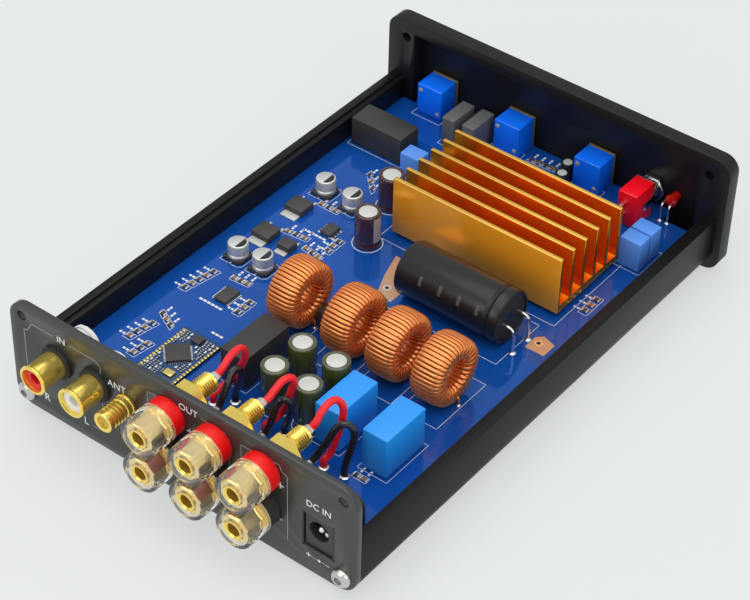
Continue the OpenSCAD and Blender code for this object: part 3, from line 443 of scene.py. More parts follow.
def turned(profile, foot, axis="Z", sides=32, spin=0.0, closed=True):
    """A turned piece: rings of (radius, height) drawn up from a circle along an axis."""
    (radius, start), *rest = profile
    piece = fresh(bpy.ops.mesh.primitive_circle_add, vertices=sides, radius=radius * MM, fill_type="NOTHING",
                  location=(0, 0, 0), rotation=(0, 0, spin))
    settle(piece)
    with edit(piece, "EDGE"):
        bpy.ops.transform.translate(value=(0, 0, start * MM))
        height = start
        for size, level in rest:
            bpy.ops.mesh.extrude_edges_move(TRANSFORM_OT_translate={"value": (0, 0, (level - height) * MM)})
            share = size / radius
            bpy.ops.transform.resize(value=(share, share, 1), center_override=(0, 0, level * MM))
            radius, height = size, level
        if closed:
            bpy.ops.mesh.select_all(action="SELECT")
            bpy.ops.mesh.fill_holes(sides=0)
        else:
            bpy.ops.mesh.select_all(action="DESELECT")
            bpy.ops.mesh.select_non_manifold()
            bpy.ops.mesh.bridge_edge_loops()
        outward()
    piece.rotation_euler = TURN[axis]
    piece.location = at(*foot)
    return settle(piece)


def copies(piece, moves):
    """Copies of a piece, each moved by millimetres, with the piece itself left where it is."""
    made = []
    for move in moves:
        only(piece)
        bpy.ops.object.duplicate()
        bpy.ops.transform.translate(value=Vector(move) * MM)
        made.append(bpy.context.active_object)
    if made:
        settle(*made)
    return made


def spread(piece, places):
    """The piece at the first of some places and copies of it at the others."""
    first, *others = (Vector(place).to_3d() for place in places)
    return [piece] + copies(piece, [place - first for place in others])


def remove(piece):
    """Delete a helper object."""
    only(piece)
    bpy.ops.object.delete()


def cut(piece, cutter):
    """Cut one closed piece out of another."""
    modify(piece, "BOOLEAN", object=cutter, operation="DIFFERENCE", solver="EXACT")
    remove(cutter)
    return piece


def tube(points, radius):
    """A round wire through points in millimetres, made a mesh."""
    curve = fresh(bpy.ops.curve.primitive_bezier_curve_add, location=(0, 0, 0))
    curve.data.splines.clear()
    line = curve.data.splines.new("BEZIER")
    line.bezier_points.add(len(points) - 1)
    for knot, point in zip(line.bezier_points, points):
        knot.co = at(*point)
        knot.handle_left_type = knot.handle_right_type = "AUTO"
    curve.data.dimensions = "3D"
    curve.data.resolution_u = 8
    curve.data.bevel_depth = radius * MM
    curve.data.bevel_resolution = 3
    curve.data.use_fill_caps = True
    only(curve)
    bpy.ops.object.convert(target="MESH")
    piece = bpy.context.active_object
    with edit(piece, "VERT"):
        bpy.ops.mesh.remove_doubles(threshold=1e-6)
        bpy.ops.mesh.normals_make_consistent(inside=False)
    return piece


def words(text, size, spot):
    """Printed lettering on the rear panel."""
    piece = fresh(bpy.ops.object.text_add, location=(0, 0, 0))
    piece.data.body = text
    piece.data.size = size * MM
    piece.data.align_x = "CENTER"
    piece.data.align_y = "CENTER"
    piece.data.extrude = INK_THICK * MM / 2
    piece.data.resolution_u = 3
    bpy.ops.object.convert(target="MESH")
    piece = bpy.context.active_object
    piece.rotation_euler = TURN["-Y"]
    piece.location = at(*spot)
    return settle(piece)


def strokes(points, face="Z", width=None, closed=False):
    """Printed line through places in millimetres, as short flat bars."""
    width = width or bpy.context.scene.amplifier_sizes.ink / MM
    bars = []
    ends = list(points) + ([points[0]] if closed else [])
    for first, second in zip(ends, ends[1:]):
        a, b = Vector(first), Vector(second)
        along = b - a
        bar = fresh(bpy.ops.mesh.primitive_cube_add, size=1, location=at(*((a + b) / 2)))
        bar.scale = Vector((along.length + width, width, INK_THICK)) * MM
        normal = Vector((0, 0, 1)) if face == "Z" else Vector((0, -1, 0))
        side = normal.cross(along).normalized()
        bar.rotation_euler = Matrix((along.normalized(), side, normal)).transposed().to_euler()
        bars.append(bar)
    settle(*bars)
    return bars


def finished(name, pieces, finish, body=MAIN, nodes=(), angle=32):
    """Join parts into one piece, give it its finish and let it ride on a body."""
    piece = joined(*pieces) if len(pieces) > 1 else pieces[0]
    piece.name = piece.data.name = name
    only(piece)
    bpy.ops.object.shade_smooth_by_angle(angle=math.radians(angle))
    piece.data.materials.clear()
    piece.data.materials.append(finish_of(finish))
    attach(piece, body)
    if nodes:
        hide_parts(*nodes)
    return piece


def softened(node, name, finish, edge=0.2, body=MAIN, segments=2, change=None):
    """A merged copy of a CAD node with rounded edges, standing for the node."""
    only(frame["nodes"][node])
    bpy.ops.object.duplicate()
    piece = bpy.context.active_object
    bpy.ops.object.parent_clear(type="CLEAR_KEEP_TRANSFORM")
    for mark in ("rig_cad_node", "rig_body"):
        if mark in piece:
            del piece[mark]
    with edit(piece, "VERT"):
        bpy.ops.mesh.remove_doubles(threshold=2e-6)
        bpy.ops.mesh.dissolve_limited(angle_limit=math.radians(1))
    if change:
        change(piece)
    if edge:
        soft_edges(piece, edge, segments)
    return finished(name, [piece], finish, body, [node])


def dressed(node, finish):
    """Give a CAD node that stays a better finish."""
    piece = frame["nodes"][node]
    piece.data.materials.clear()
    piece.data.materials.append(finish_of(finish))


class AMP_OT_stage(bpy.types.Operator):
    """Lay the pale floor, the soft lights and the camera"""

    bl_idname = "amp.stage"
    bl_label = "Stage"

    def execute(self, context):
        scene = context.scene
        scene.view_settings.view_transform = "Standard"
        floor = fresh(bpy.ops.mesh.primitive_plane_add, size=5, location=(0, 0, 0))
        floor.name = "floor"
        paper = Finish("paper", (0.76, 0.78, 0.775), 0.5)
        paper.feed("Base Color", paper.mix(paper.noise(3, 1), (0.75, 0.775, 0.77), (0.78, 0.795, 0.79)))
        rays = sum(paper.node("ShaderNodeLightPath", output=ray)
                   for ray in ("Is Camera Ray", "Is Glossy Ray", "Is Transmission Ray"))
        glow = paper.node("ShaderNodeEmission", None, {"Color": (0.78, 0.81, 0.80, 1), "Strength": 1.0})
        share = 0.68
        seen = rays.sum("MINIMUM", rays * share, share)
        mixed = paper.node("ShaderNodeMixShader", None, {0: seen, 1: Flow(paper, paper.shader.outputs[0]), 2: glow})
        paper.tree.links.new(mixed.socket, paper.tree.nodes["Material Output"].inputs["Surface"])
        floor.data.materials.append(paper.material)

        world = scene.world or bpy.data.worlds.new("studio")
        scene.world = world
        world.use_nodes = True
        sky = Nodes(world.node_tree)
        way = sky.node("ShaderNodeTexCoord", output="Generated")
        toward = sky.node("ShaderNodeVectorMath", {"operation": "DOT_PRODUCT"},
                          {0: way, 1: (0.50, -0.58, 0.64)}, "Value")
        stops = ((0.25, (0.62, 0.64, 0.655, 1)), (0.95, (0.99, 1.0, 1.0, 1)))
        shade = sky.node("ShaderNodeValToRGB", {"stops": stops}, {0: toward * 0.5 + 0.5})
        sky.tree.links.new(shade.socket, sky.tree.nodes["Background"].inputs["Color"])
        sky.tree.nodes["Background"].inputs["Strength"].default_value = 0.84

        def lamp(name, place, size, power):
            light = fresh(bpy.ops.object.light_add, type="AREA", location=place)
            light.name = name
            light.data.shape = "RECTANGLE"
            light.data.size, light.data.size_y = size
            light.data.energy = power
            light.rotation_euler = (-Vector(place)).to_track_quat("-Z", "Y").to_euler()

        lamp("top_softbox", (-0.05, -0.1, 1.0), (1.2, 1.0), 4.6)
        lamp("right_softbox", (1.1, -0.4, 0.75), (0.7, 0.7), 2.0)
        lamp("rear_softbox", (-0.3, -1.2, 0.7), (0.8, 0.6), 2.8)

        azimuth, height, roll, distance = 0.6440, 0.71246, 0.02833, 0.67694
        target = Vector((0.00034, 0.08408 + REAR * MM, 0.012 + BASE * MM))
        level = math.cos(height)
        back = Vector((math.sin(azimuth) * level, -math.cos(azimuth) * level, math.sin(height)))
        right = Vector((math.cos(azimuth), math.sin(azimuth), 0))
        up = back.cross(right)
        c, s = math.cos(roll), math.sin(roll)
        camera = fresh(bpy.ops.object.camera_add)
        camera.data.sensor_width = 36
        camera.data.sensor_fit = "HORIZONTAL"
        camera.data.lens = 113.69
        camera.data.clip_start = 0.01
        turn = Matrix((c * right + s * up, c * up - s * right, back)).transposed().to_4x4()
        camera.matrix_world = Matrix.Translation(target + back * distance) @ turn
        scene.camera = camera
        return {"FINISHED"}


class AMP_OT_case(bpy.types.Operator):
    """Dress the tray, the two panels, the feet and the screws"""

    bl_idname = "amp.case"
    bl_label = "Case"

    def execute(self, context):
        edge = context.scene.amplifier_sizes.edge / MM
        softened("bottom_tray", "tray", "tray_black", edge)
        softened("rear_panel", "rear_plate", "rear_dark", 0.1)
        softened("front_panel", "front_plate", "front_black", edge)
        softened("rubber_feet", "feet", "rubber", 0.6, segments=3)
        heads = []
        dome = [(3.0, 0), (3.0, 0.45), (2.85, 1.0), (2.5, 1.5), (2.0, 1.85), (1.6, 1.97)]

        def screw(foot, axis, inward, length):
            key = turned([(1.25, 0.75), (1.25, 2.15)], foot, axis, 6)
            shank = turned([(1.45, 0), (1.45, length)], foot, inward, 20)
            heads.extend((cut(turned(dome, foot, axis), key), shank))

        wide, z = PANEL_SCREW
        for y, axis, inward in ((0, "-Y", "Y"), (FRONT, "Y", "-Y")):
            for x in (-wide, wide):
                screw((x, y, z), axis, inward, 8)
        for x, y in SINK_SCREWS:
            screw((x, y, BOARD_UNDER), "-Z", "Z", 5.4)
        finished("screw_set", heads, "nickel", nodes=["screws"])
        return {"FINISHED"}


class AMP_OT_print(bpy.types.Operator):
    """Print the plain marks on the rear panel"""

    bl_idname = "amp.print"
    bl_label = "Panel print"

    def execute(self, context):
        face = -0.015
        marks = [words(text, size, (x, face, z)) for text, size, x, z in (
            ("IN", 3.1, -41.0, 31.0), ("R", 3.6, -48.2, 6.2), ("L", 3.6, -33.6, 6.0), ("ANT", 3.2, -21.2, 26.0),
            ("OUT", 3.1, 4.2, 32.6), ("DC IN", 3.0, 47.6, 24.4), ("+", 4.6, 4.6, 25.0), ("+", 4.6, 35.1, 24.8),
            ("–", 3.4, 34.8, 12.8), ("+", 3.4, 44.4, 5.6), ("–", 2.4, 50.7, 5.6))]
        marks.append(turned([(0.45, 0), (0.45, 0.03)], (47.9, 0, 5.6), "-Y", 16))
        lines = []
        for route in (
            [(-55.0, 15), (-55.0, 27.6), (-53.6, 27.9), (-52.4, 30.2), (-51.9, 31), (-44, 31)],
            [(-38, 31), (-28.4, 31), (-26.9, 29.6), (-26.9, 7.4), (-28.6, 5.8), (-31.2, 5.8)],
            [(-10.1, 7.5), (-10.1, 31.0), (-1.8, 31.2)],
            [(8.6, 32.4), (16.4, 32.3), (18.0, 30.6), (18.0, 8)],
            [(22.0, 8), (22.0, 31.3), (34.8, 32.0), (35.6, 30.2), (37.4, 29.4), (37.4, 6.8)],
            [(45.4, 5.6), (47.2, 5.6)],
            [(48.6, 5.6), (49.8, 5.6)],
        ):
            lines += strokes([(x, face, z) for x, z in route], "-Y", 0.2)
        finished("panel_print", marks, "ink_white")
        finished("panel_lines", lines, "ink_grey")
        border = strokes([(42.5, face, 20.6), (42.5, face, 8.7), (52.5, face, 8.7), (52.5, face, 20.6)], "-Y", 0.5)
        finished("socket_border", border, "ink_black")
        return {"FINISHED"}


class AMP_OT_board(bpy.types.Operator):
    """Dress the circuit board and print its outlines"""

    bl_idname = "amp.board"
    bl_label = "Circuit board"

    def execute(self, context):
        dressed("circuit_board", "board_mask")
        ink = []
        z = TOP + 0.012

        def outline(*corners):
            ink.extend(strokes([(px, py, z) for px, py in corners], closed=True))

        def rectangle(x0, y0, x1, y1):
            outline((x0, y0), (x1, y0), (x1, y1), (x0, y1))

        def dashes(x, y, count):
            for i in range(count):
                ink.extend(strokes([(x + 1.45 * i, y, z), (x + 1.45 * i + 0.4, y, z)], width=0.75))

        for box in ((-18.5, 110, 44.8, 146), (1.6, 86.4, 41.4, 107.6), (20.4, 30.2, 30.3, 48.6),
                    (36.4, 30.2, 46.3, 48.6), (-15.4, 33.2, -4.8, 53.8), (-54.4, 140.4, -33.6, 151),
                    (42.4, 144.1, 51.2, 157), (-33.3, 137.6, -24.7, 144.7), (-32.8, 158.2, -19.4, 171.3)):
            rectangle(*box)
        for x, y, dx, dy, count in CHIP_ROWS:
            step = Vector((dx, dy))
            if abs(dy) > abs(dx):
                side, away = Vector((1.5, 0)), Vector((-1, 0))
            else:
                side, away = Vector((0, 1.1)), Vector((0, 1))
            start = Vector((x, y)) - step / 2
            end = start + step * count
            outline(start - side, start + side, end + side, end - side)
            for i in range(count):
                if i:
                    ink.extend(strokes([(*(start + step * i - side), z), (*(start + step * i + side), z)]))
                for low, high in ((2.1, 2.3), (3.3, 3.5)):
                    spot = Vector((x, y)) + step * i
                    ink.extend(strokes([(*(spot + away * low), z), (*(spot + away * high), z)], width=0.7))
        for bar in ((-40.8, 55.5, 6), (-28.4, 46.5, 3), (-37.6, 98.7, 6)):
            dashes(*bar)
        for x, y in COILS:
            rectangle(x - 6.4, y - 11.4, x + 6.4, y + 11.4)
        for x in POTS:
            rectangle(x - 5.4, 165.6, x + 5.4, 170.6)
        for x, y in CAN_CAPS:
            outline((x - 3.9, y - 3.9), (x + 2.7, y - 3.9), (x + 3.9, y - 2.7), (x + 3.9, y + 2.7),
                    (x + 2.7, y + 3.9), (x - 3.9, y + 3.9))
        for x, y in RAIL_CAPS + BROWN_CAPS:
            ring = [(4.75, 0), (4.75, 0.025), (4.5, 0.025), (4.5, 0)]
            ink.append(turned(ring, (x, y, TOP), "Z", 40, closed=False))
        finished("board_ink", ink, "ink_white")
        bare = []
        for corners in (((-3.6, 90.6), (2.4, 88.6), (2.4, 106.2), (-9.0, 106.2), (-6.4, 97.4)),
                        ((43.4, 97.6), (49.8, 97.6), (49.8, 103.2), (45.2, 104.6), (43.4, 102.8))):
            plane = fresh(bpy.ops.mesh.primitive_circle_add, vertices=len(corners), radius=MM, fill_type="NGON")
            for point, (x, y) in zip(plane.data.vertices, corners):
                point.co = at(x, y, TOP + 0.01)
            plane.location = (0, 0, 0)
            with edit(plane):
                outward()
                bpy.ops.mesh.extrude_region_move(TRANSFORM_OT_translate={"value": (0, 0, 0.02 * MM)})
                outward()
            bare.append(plane)
        finished("bare_copper", bare, "bare_copper")
        rings = [turned([(1.3, 0), (1.3, 0.06), (0.65, 0.06), (0.65, 0)], (x, y, TOP + 0.03), "Z", 24, closed=False)
                 for x, y in RING_PADS]
        finished("ring_pads", rings, "tin")
        holes = [turned([(0.62, 0), (0.62, 0.03), (0.5, 0.04)], (x, y, TOP + 0.03), "Z", 24) for x, y in RING_PADS]
        finished("ring_holes", holes, "ink_black")
        coil_feet = [(x + side * COIL_LEG, y) for x, y in COILS for side in (-1, 1)]
        domes = []
        for r, places in ((1.1, MAIN_LEADS), (1.5, RED_ENDS + BLACK_ENDS), (0.8, LAMP_FEET), (0.75, coil_feet)):
            profile = [(r, 0), (r, 0.05), (r * 0.72, 0.35), (r * 0.3, 0.5)]
            domes += [turned(profile, (x, y, TOP), "Z", 20) for x, y in places]
        finished("solder_domes", domes, "tin")
        return {"FINISHED"}


class AMP_OT_heatsink(bpy.types.Operator):
    """Dress the finned heatsink and the chips under it"""

    bl_idname = "amp.heatsink"
    bl_label = "Heatsink"

    def deepen(self, piece):
        """Take the channel floors down by a millimetre."""
        floor = at(0, 0, SINK_FLOOR).z
        with edit(piece, "FACE", "DESELECT"):
            pick(piece, lambda f: f.normal.z > 0.9 and abs(f.calc_center_median().z - floor) < 1e-4)
            bpy.ops.transform.translate(value=(0, 0, -MM))

    def execute(self, context):
        softened("heatsink", "fin_block", "sink_gold", 0.14, change=self.deepen)
        dressed("amplifier_chips", "chip_black")
        return {"FINISHED"}


class AMP_OT_coils(bpy.types.Operator):
    """Wind the four ring coils turn by turn"""

    bl_idname = "amp.coils"
    bl_label = "Coils"

    def execute(self, context):
        sizes = context.scene.amplifier_sizes
        wire = sizes.wire / MM / 2
        half = sizes.turns // 2
        bore, outer, ring = 4.3, 10.5 - wire, 3
        x, y = COILS[0]
        middle_point = at(x, y, COIL_Z)
        layers = []
        for inner, thick, start in ((bore + wire, 5.15 - wire, 0.0), (bore + 2.8 * wire, 5.0 - wire, math.pi / half)):
            turn = fresh(bpy.ops.mesh.primitive_torus_add, major_radius=ring * MM, minor_radius=wire * MM,
                         major_segments=28, minor_segments=6, location=(0, 0, 0))
            wide = (outer - inner) / 2
            for point in turn.data.vertices:
                angle = math.atan2(point.co.y, point.co.x)
                c, s = math.cos(angle), math.sin(angle)
                square = (math.copysign(abs(c) ** 0.55, c) * wide, math.copysign(abs(s) ** 0.55, s) * thick, 0)
                point.co += (Vector(square) - Vector((c * ring, s * ring, 0))) * MM
            settle(turn)
            middle = (outer + inner) / 2
            turn.matrix_world = Matrix.Translation(at(x, y, COIL_Z + middle)) @ Matrix(
                ((0, 1, 0, 0), (0, 0, 1, 0), (1, 0, 0, 0), (0, 0, 0, 1)))
            settle(turn)
            with edit(turn):
                bpy.ops.transform.rotate(value=start, orient_axis="X", center_override=middle_point)
                bpy.ops.mesh.spin(steps=half - 1, dupli=True, angle=math.tau * (half - 1) / half,
                                  center=middle_point, axis=(1, 0, 0))
                outward()
            layers.append(turn)
        legs = [tube([(x + side * 4.6, y, TOP + 3.0), (x + side * 5.3, y, TOP + 2.2), (x + side * COIL_LEG, y, TOP)],
                     0.4) for side in (-1, 1)]
        wound = spread(joined(*layers, *legs), COILS)
        finished("coil_wire", wound, "copper", nodes=["inductor_windings"], angle=60)
        dressed("inductor_cores", "core_dark")
        return {"FINISHED"}


class AMP_OT_capacitors(bpy.types.Operator):
    """Make the round capacitors"""

    bl_idname = "amp.capacitors"
    bl_label = "Round capacitors"

    def upright(self, name, places, r, h, sleeve, rim, slot, node):
        """Standing capacitors of one radius and height: sleeve, rolled rim and lid."""
        x, y = places[0]
        inset = r * 0.3
        body = turned([(r - 0.5, 0), (r - 0.1, 0.15), (r, 0.6), (r, 1.5), (r - 0.22, 1.95), (r, 2.4), (r, h - 0.5),
                       (r - 0.1, h - 0.4)], (x, y, TOP), "Z", 40)
        roll = turned([(r - inset, h - 0.45), (r - inset, h - 0.2), (r - inset + 0.25, h), (r - 0.35, h),
                       (r - 0.1, h - 0.15), (r - 0.05, h - 0.45)], (x, y, TOP), "Z", 40, closed=False)
        lid = turned([(r - inset - 0.02, h - 0.4), (r - inset - 0.02, h - 0.14), (r - inset - 0.3, h - 0.06)],
                     (x, y, TOP), "Z", 40)
        finished(name + "_sleeves", spread(body, places), sleeve, nodes=[node])
        finished(name + "_rims", spread(roll, places), rim, nodes=[node])
        finished(name + "_lids", spread(lid, places), "lid_white", nodes=[node])

    def execute(self, context):
        # The rail capacitors' rims get a paler olive than their sleeves, as painted sheen on the rolled edge
        self.upright("rail_caps", RAIL_CAPS, 4, 15.5, "sleeve_olive", "rim_olive", "olive_sleeve", "rail_capacitors")
        self.upright("brown_caps", BROWN_CAPS, 4, 12, "sleeve_brown", "sleeve_brown", "brown_sleeve",
                     "brown_capacitors")
        x, y = BROWN_CAPS[0]
        band = turned([(4.02, 2.6), (4.02, 11.4)], (x, y, TOP), "Z", 40)
        with edit(band, "FACE", "DESELECT"):
            pick(band, lambda f: abs(f.normal.z) > 0.5 or not -0.4 < math.atan2(f.normal.y, f.normal.x) < 0.34)
            bpy.ops.mesh.delete(type="FACE")
        modify(band, "SOLIDIFY", thickness=0.02 * MM, offset=1)
        finished("brown_stripes", spread(band, BROWN_CAPS), "ink_grey")
        self.upright("bead_caps", BEAD_CAPS, 2.1, 6, "sleeve_black", "sleeve_black", "black_sleeve", "can_capacitors")

        # Flat cans on seats with two cut corners
        x, y = CAN_CAPS[0]
        can = turned([(2.9, 0.9), (3.1, 1.05), (3.15, 1.3), (3.15, 1.9), (2.85, 2.25), (3.15, 2.6), (3.15, 5.3),
                      (3.0, 5.65), (2.6, 5.8)], (x, y, TOP), "Z", 36)
        seat = block((x - 3.3, y - 3.3, TOP), (x + 3.3, y + 3.3, TOP + 1.0), 0)
        with edit(seat, "EDGE", "DESELECT"):
            corner = at(x + 3.3, y, 0).x
            pick(seat, lambda e: e.verts[0].co.x > corner - 1e-5 and abs(e.verts[0].co.z - e.verts[1].co.z) > 5e-4,
                 "edges")
            bpy.ops.mesh.bevel(offset=1.1 * MM, segments=1)
        soft_edges(seat, 0.12)
        lid = at(x, y, TOP + 5.8)
        mark = fresh(bpy.ops.mesh.primitive_circle_add, vertices=36, radius=2.55 * MM, fill_type="NGON", location=lid)
        settle(mark)
        with edit(mark):
            bpy.ops.mesh.bisect(plane_co=at(x + 0.7, y, TOP + 5.8), plane_no=(-1, 0, 0), clear_outer=True)
        modify(mark, "SOLIDIFY", thickness=0.02 * MM, offset=1)
        feet = joined(*(block((x - 0.35, y + low, TOP), (x + 0.35, y + low + 1.6, TOP + 0.25), 0.05)
                        for low in (-4.0, 2.4)))
        for name, piece, finish, slot in (
                ("can_shells", can, "can_silver", "bare_can"), ("can_seats", seat, "moulded_black", "black_plastic"),
                ("can_marks", mark, "ink_black", "bare_can"), ("can_feet", feet, "tin", "bare_can")):
            finished(name, spread(piece, CAN_CAPS), finish, nodes=["can_capacitors"])

        # Main capacitor on its side
        r = 8.5
        x0, y0, z0 = MAIN_CAP
        sleeve = turned([(7.0, 0.05), (7.6, 0), (8.2, 0.25), (r, 0.9), (r, 30.9), (8.2, 31.3), (7.95, 31.8),
                         (8.2, 32.3), (r, 32.7), (r, 34.9), (8.2, 35.4), (7.7, 35.6), (7.2, 35.5), (7.1, 35.1)],
                        MAIN_CAP, "X", 56)
        finished("main_sleeve", [sleeve], "sleeve_black", nodes=["main_capacitor"])
        bung = turned([(7.05, 34.7), (7.05, 35.2), (6.6, 35.3), (2.2, 35.3), (1.6, 35.0)], MAIN_CAP, "X", 40)
        finished("main_bung", [bung], "rubber", nodes=["main_capacitor"])
        leads = [tube([(x - 4.2, y, z0), (x - 2.0, y, z0), (x - 0.5, y, z0 - 0.7), (x, y, z0 - 2.6), (x, y, TOP)],
                      0.45) for x, y in MAIN_LEADS]
        finished("main_leads", leads, "tin", nodes=["main_capacitor"])
        # Plain bars in place of its lettering
        bars = []
        for spot in (9.0, 15.8, 22.4, 28.8):
            bar = fresh(bpy.ops.mesh.primitive_plane_add, size=1, location=at(x0 + spot, y0, z0 + r + 0.012))
            bar.scale = (1.1 * MM, 0.02 * MM, 1)
            settle(bar)
            with edit(bar, "EDGE", "DESELECT"):
                edge_y = at(0, y0, 0).y
                pick(bar, lambda e: e.verts[0].co.y > edge_y and e.verts[1].co.y > edge_y, "edges")
                bpy.ops.mesh.spin(steps=10, angle=math.radians(20), center=at(*MAIN_CAP), axis=(-1, 0, 0))
            with edit(bar, "EDGE"):
                bpy.ops.mesh.remove_doubles(threshold=1e-7)
                bpy.ops.mesh.normals_make_consistent(inside=False)
                bpy.ops.transform.rotate(value=-math.radians(52), orient_axis="X", center_override=at(*MAIN_CAP))
            bars.append(bar)
        raised = modify(joined(*bars), "SOLIDIFY", thickness=0.02 * MM, offset=0)
        finished("main_bars", [raised], "ink_faint")
        return {"FINISHED"}


class AMP_OT_boxes(bpy.types.Operator):
    """Make the film capacitors and the relays"""

    bl_idname = "amp.boxes"
    bl_label = "Boxed parts"

    def execute(self, context):
        films = [block((x, 31, TOP + 0.3), (x + 8.3, 47.8, TOP + 14), 0.35, 3) for x in (21.2, 37.2)]
        finished("film_boxes", films, "film_blue", nodes=["blue_film_caps"])
        light = [block((x, y, TOP + 0.2), (x + w, y + d, TOP + h), 0.3, 3) for x, y, w, d, h in (
            (43.2, 144.8, 7.2, 5.4, 10.4), (43.2, 150.8, 7.2, 5.4, 10.4), (-32.5, 138.4, 7, 5.5, 8))]
        finished("light_boxes", light, "film_light", nodes=["light_film_caps"])
        grey = [block((x, y, TOP + 0.2), (x + 4.6, y + 11, TOP + 10), 0.3, 3) for x, y in ((-32, 159), (-24.8, 159.5))]
        finished("grey_boxes", grey, "film_grey", nodes=["grey_film_caps"])
        relays = [block((x, y, TOP + 0.15), (x + w, y + d, TOP + h), 0.3, 2) for x, y, w, d, h in (
            (-53.6, 141.2, 19.2, 9, 9.8), (-14.6, 34, 9, 19, 11), (-6.6, 66.4, 6.8, 7.4, 7))]
        finished("relay_boxes", relays, "moulded_black", nodes=["relays"])
        return {"FINISHED"}


class AMP_OT_chips(bpy.types.Operator):
    """Make the small soldered parts, the regulators and the chips"""

    bl_idname = "amp.chips"
    bl_label = "Soldered parts"

    def execute(self, context):
        places = [(x + i * dx, y + i * dy) for x, y, dx, dy, count in CHIP_ROWS for i in range(count)]
        x, y = places[0]
        body = block((x - 0.6, y - 0.7, TOP + 0.03), (x + 0.6, y + 0.7, TOP + 0.56), 0.05, 1)
        ends = joined(*(block((x + s * 0.8 - 0.27, y - 0.73, TOP), (x + s * 0.8 + 0.27, y + 0.73, TOP + 0.6), 0.08, 1)
                        for s in (-1, 1)))
        made = spread(body, places)
        finished("chip_bodies_dark", made[::2], "chip_black", nodes=["chip_parts"])
        finished("chip_bodies_tan", made[1::2], "chip_tan", nodes=["chip_parts"])
        finished("chip_ends", spread(ends, places), "tin", nodes=["chip_parts"])

        # Regulators
        bodies, tabs = [], []
        for x, y, w in ((-44.7, 89.3, 6.6), (-45, 105.1, 6.6), (-36, 88.6, 4.6)):
            bodies.append(block((x - w / 2, y - w * 0.46, TOP + 0.1), (x + w / 2, y + w * 0.46, TOP + 2.3), 0.25, 2))
            tabs.append(block((x - w * 0.42, y - w * 0.86, TOP), (x + w * 0.42, y - w * 0.4, TOP + 0.5), 0.1))
            for lx in (x - w * 0.35, x + w * 0.35):
                tabs.append(block((lx - 0.35, y + w * 0.4, TOP), (lx + 0.35, y + w * 0.82, TOP + 0.5), 0.1))
        finished("regulator_bodies", bodies, "chip_black", nodes=["regulators"])
        finished("regulator_tabs", tabs, "lid_white", nodes=["regulators"])

        # Chips with rows of pins, then those on the wireless module
        bodies, feet = [], []
        for x, y, w, d, h, count, pitch in ((-30.9, 102.5, 3.9, 4.9, 1.5, 4, 1.27),
                                            (-35.4, 60.8, 4.4, 6.5, 1.1, 10, 0.62)):
            bodies.append(block((x - w / 2, y - d / 2, TOP + 0.1), (x + w / 2, y + d / 2, TOP + h), 0.18, 2))
            pins = [(x + s * (w / 2 + 0.5), y + (i - (count - 1) / 2) * pitch) for s in (-1, 1) for i in range(count)]
            (px, py), half = pins[0], pitch * 0.26
            pin = block((px - 0.55, py - half, TOP), (px + 0.55, py + half, TOP + 0.3), 0.08, 1)
            feet += spread(pin, pins)
        x, y, z = RADIO_CHIP
        chip = block((x - 3.5, y - 3.5, z), (x + 3.5, y + 3.5, z + 0.9), 0.12)
        with edit(chip):
            bpy.ops.transform.rotate(value=math.pi / 4, orient_axis="Z", center_override=at(x, y, z))
        bodies += [chip, block((-29.8, 38.7, z), (-26.8, 41.7, z + 0.9), 0.1)]
        finished("chip_blocks", bodies, "chip_black", nodes=["logic_chips"])
        finished("chip_feet", feet, "tin", nodes=["logic_chips"])
        crystal = block((-27.3, 23.75, z), (-24.1, 26.25, z + 0.8), 0.2, 3)
        finished("crystal_can", [crystal], "pale_gold", nodes=["logic_chips"])
        return {"FINISHED"}


class AMP_OT_module(bpy.types.Operator):
    """Dress the wireless daughter board"""

    bl_idname = "amp.module"
    bl_label = "Wireless module"

    def execute(self, context):
        softened("wireless_module", "radio_board", "module_mask", 0.08)
        cx, cy, z = RADIO_CHIP
        pads = []
        for x in (-34.75, -22.35):
            pad = block((x - 0.45, 18.2, TOP), (x + 0.45, 19.0, z + 0.04), 0.06)
            pads += spread(pad, [(0, 1.27 * i) for i in range(19)])
        finished("radio_pads", pads, "gold")
        bits, columns, rows = [], 10, 15
        for i in range(columns * rows):
            row, column = divmod(i, columns)
            x, y = -33.7 + 1.12 * column + 0.2 * (row % 2), 18.4 + 1.62 * row
            on_chip = abs(x - cx) + abs(y - cy) < 6.9 or (-30.5 < x < -26.1 and 38.0 < y < 42.4)
            on_crystal = -28.0 < x < -23.4 and 23.0 < y < 27.0
            if not on_chip and not on_crystal:
                bits.append((x, y))
        x, y = bits[0]
        body = block((x - 0.28, y - 0.3, z), (x + 0.28, y + 0.3, z + 0.35), 0.04, 1)
        tips = joined(*(block((x - 0.3, y + s * 0.42 - 0.14, z), (x + 0.3, y + s * 0.42 + 0.14, z + 0.38), 0.04, 1)
                        for s in (-1, 1)))
        made = spread(body, bits)
        for shade, share in (("chip_tan", made[::3]), ("chip_black", made[1::3]), ("nylon", made[2::3])):
            finished(f"radio_bits_{shade.split('_')[-1]}", share, shade)
        finished("radio_tips", spread(tips, bits), "tin")
        pin = block((cx - 2.87, cy - 4.15, z), (cx - 2.63, cy - 3.45, z + 0.22), 0.05, 1)
        row = joined(*spread(pin, [(0.5 * i, 0) for i in range(12)]))
        with edit(row):
            bpy.ops.transform.rotate(value=math.pi / 4, orient_axis="Z", center_override=at(cx, cy, z))
            bpy.ops.mesh.spin(steps=3, dupli=True, angle=math.pi * 1.5, center=at(cx, cy, z), axis=(0, 0, 1))
            outward()
        finished("radio_pins", [row], "tin")
        return {"FINISHED"}


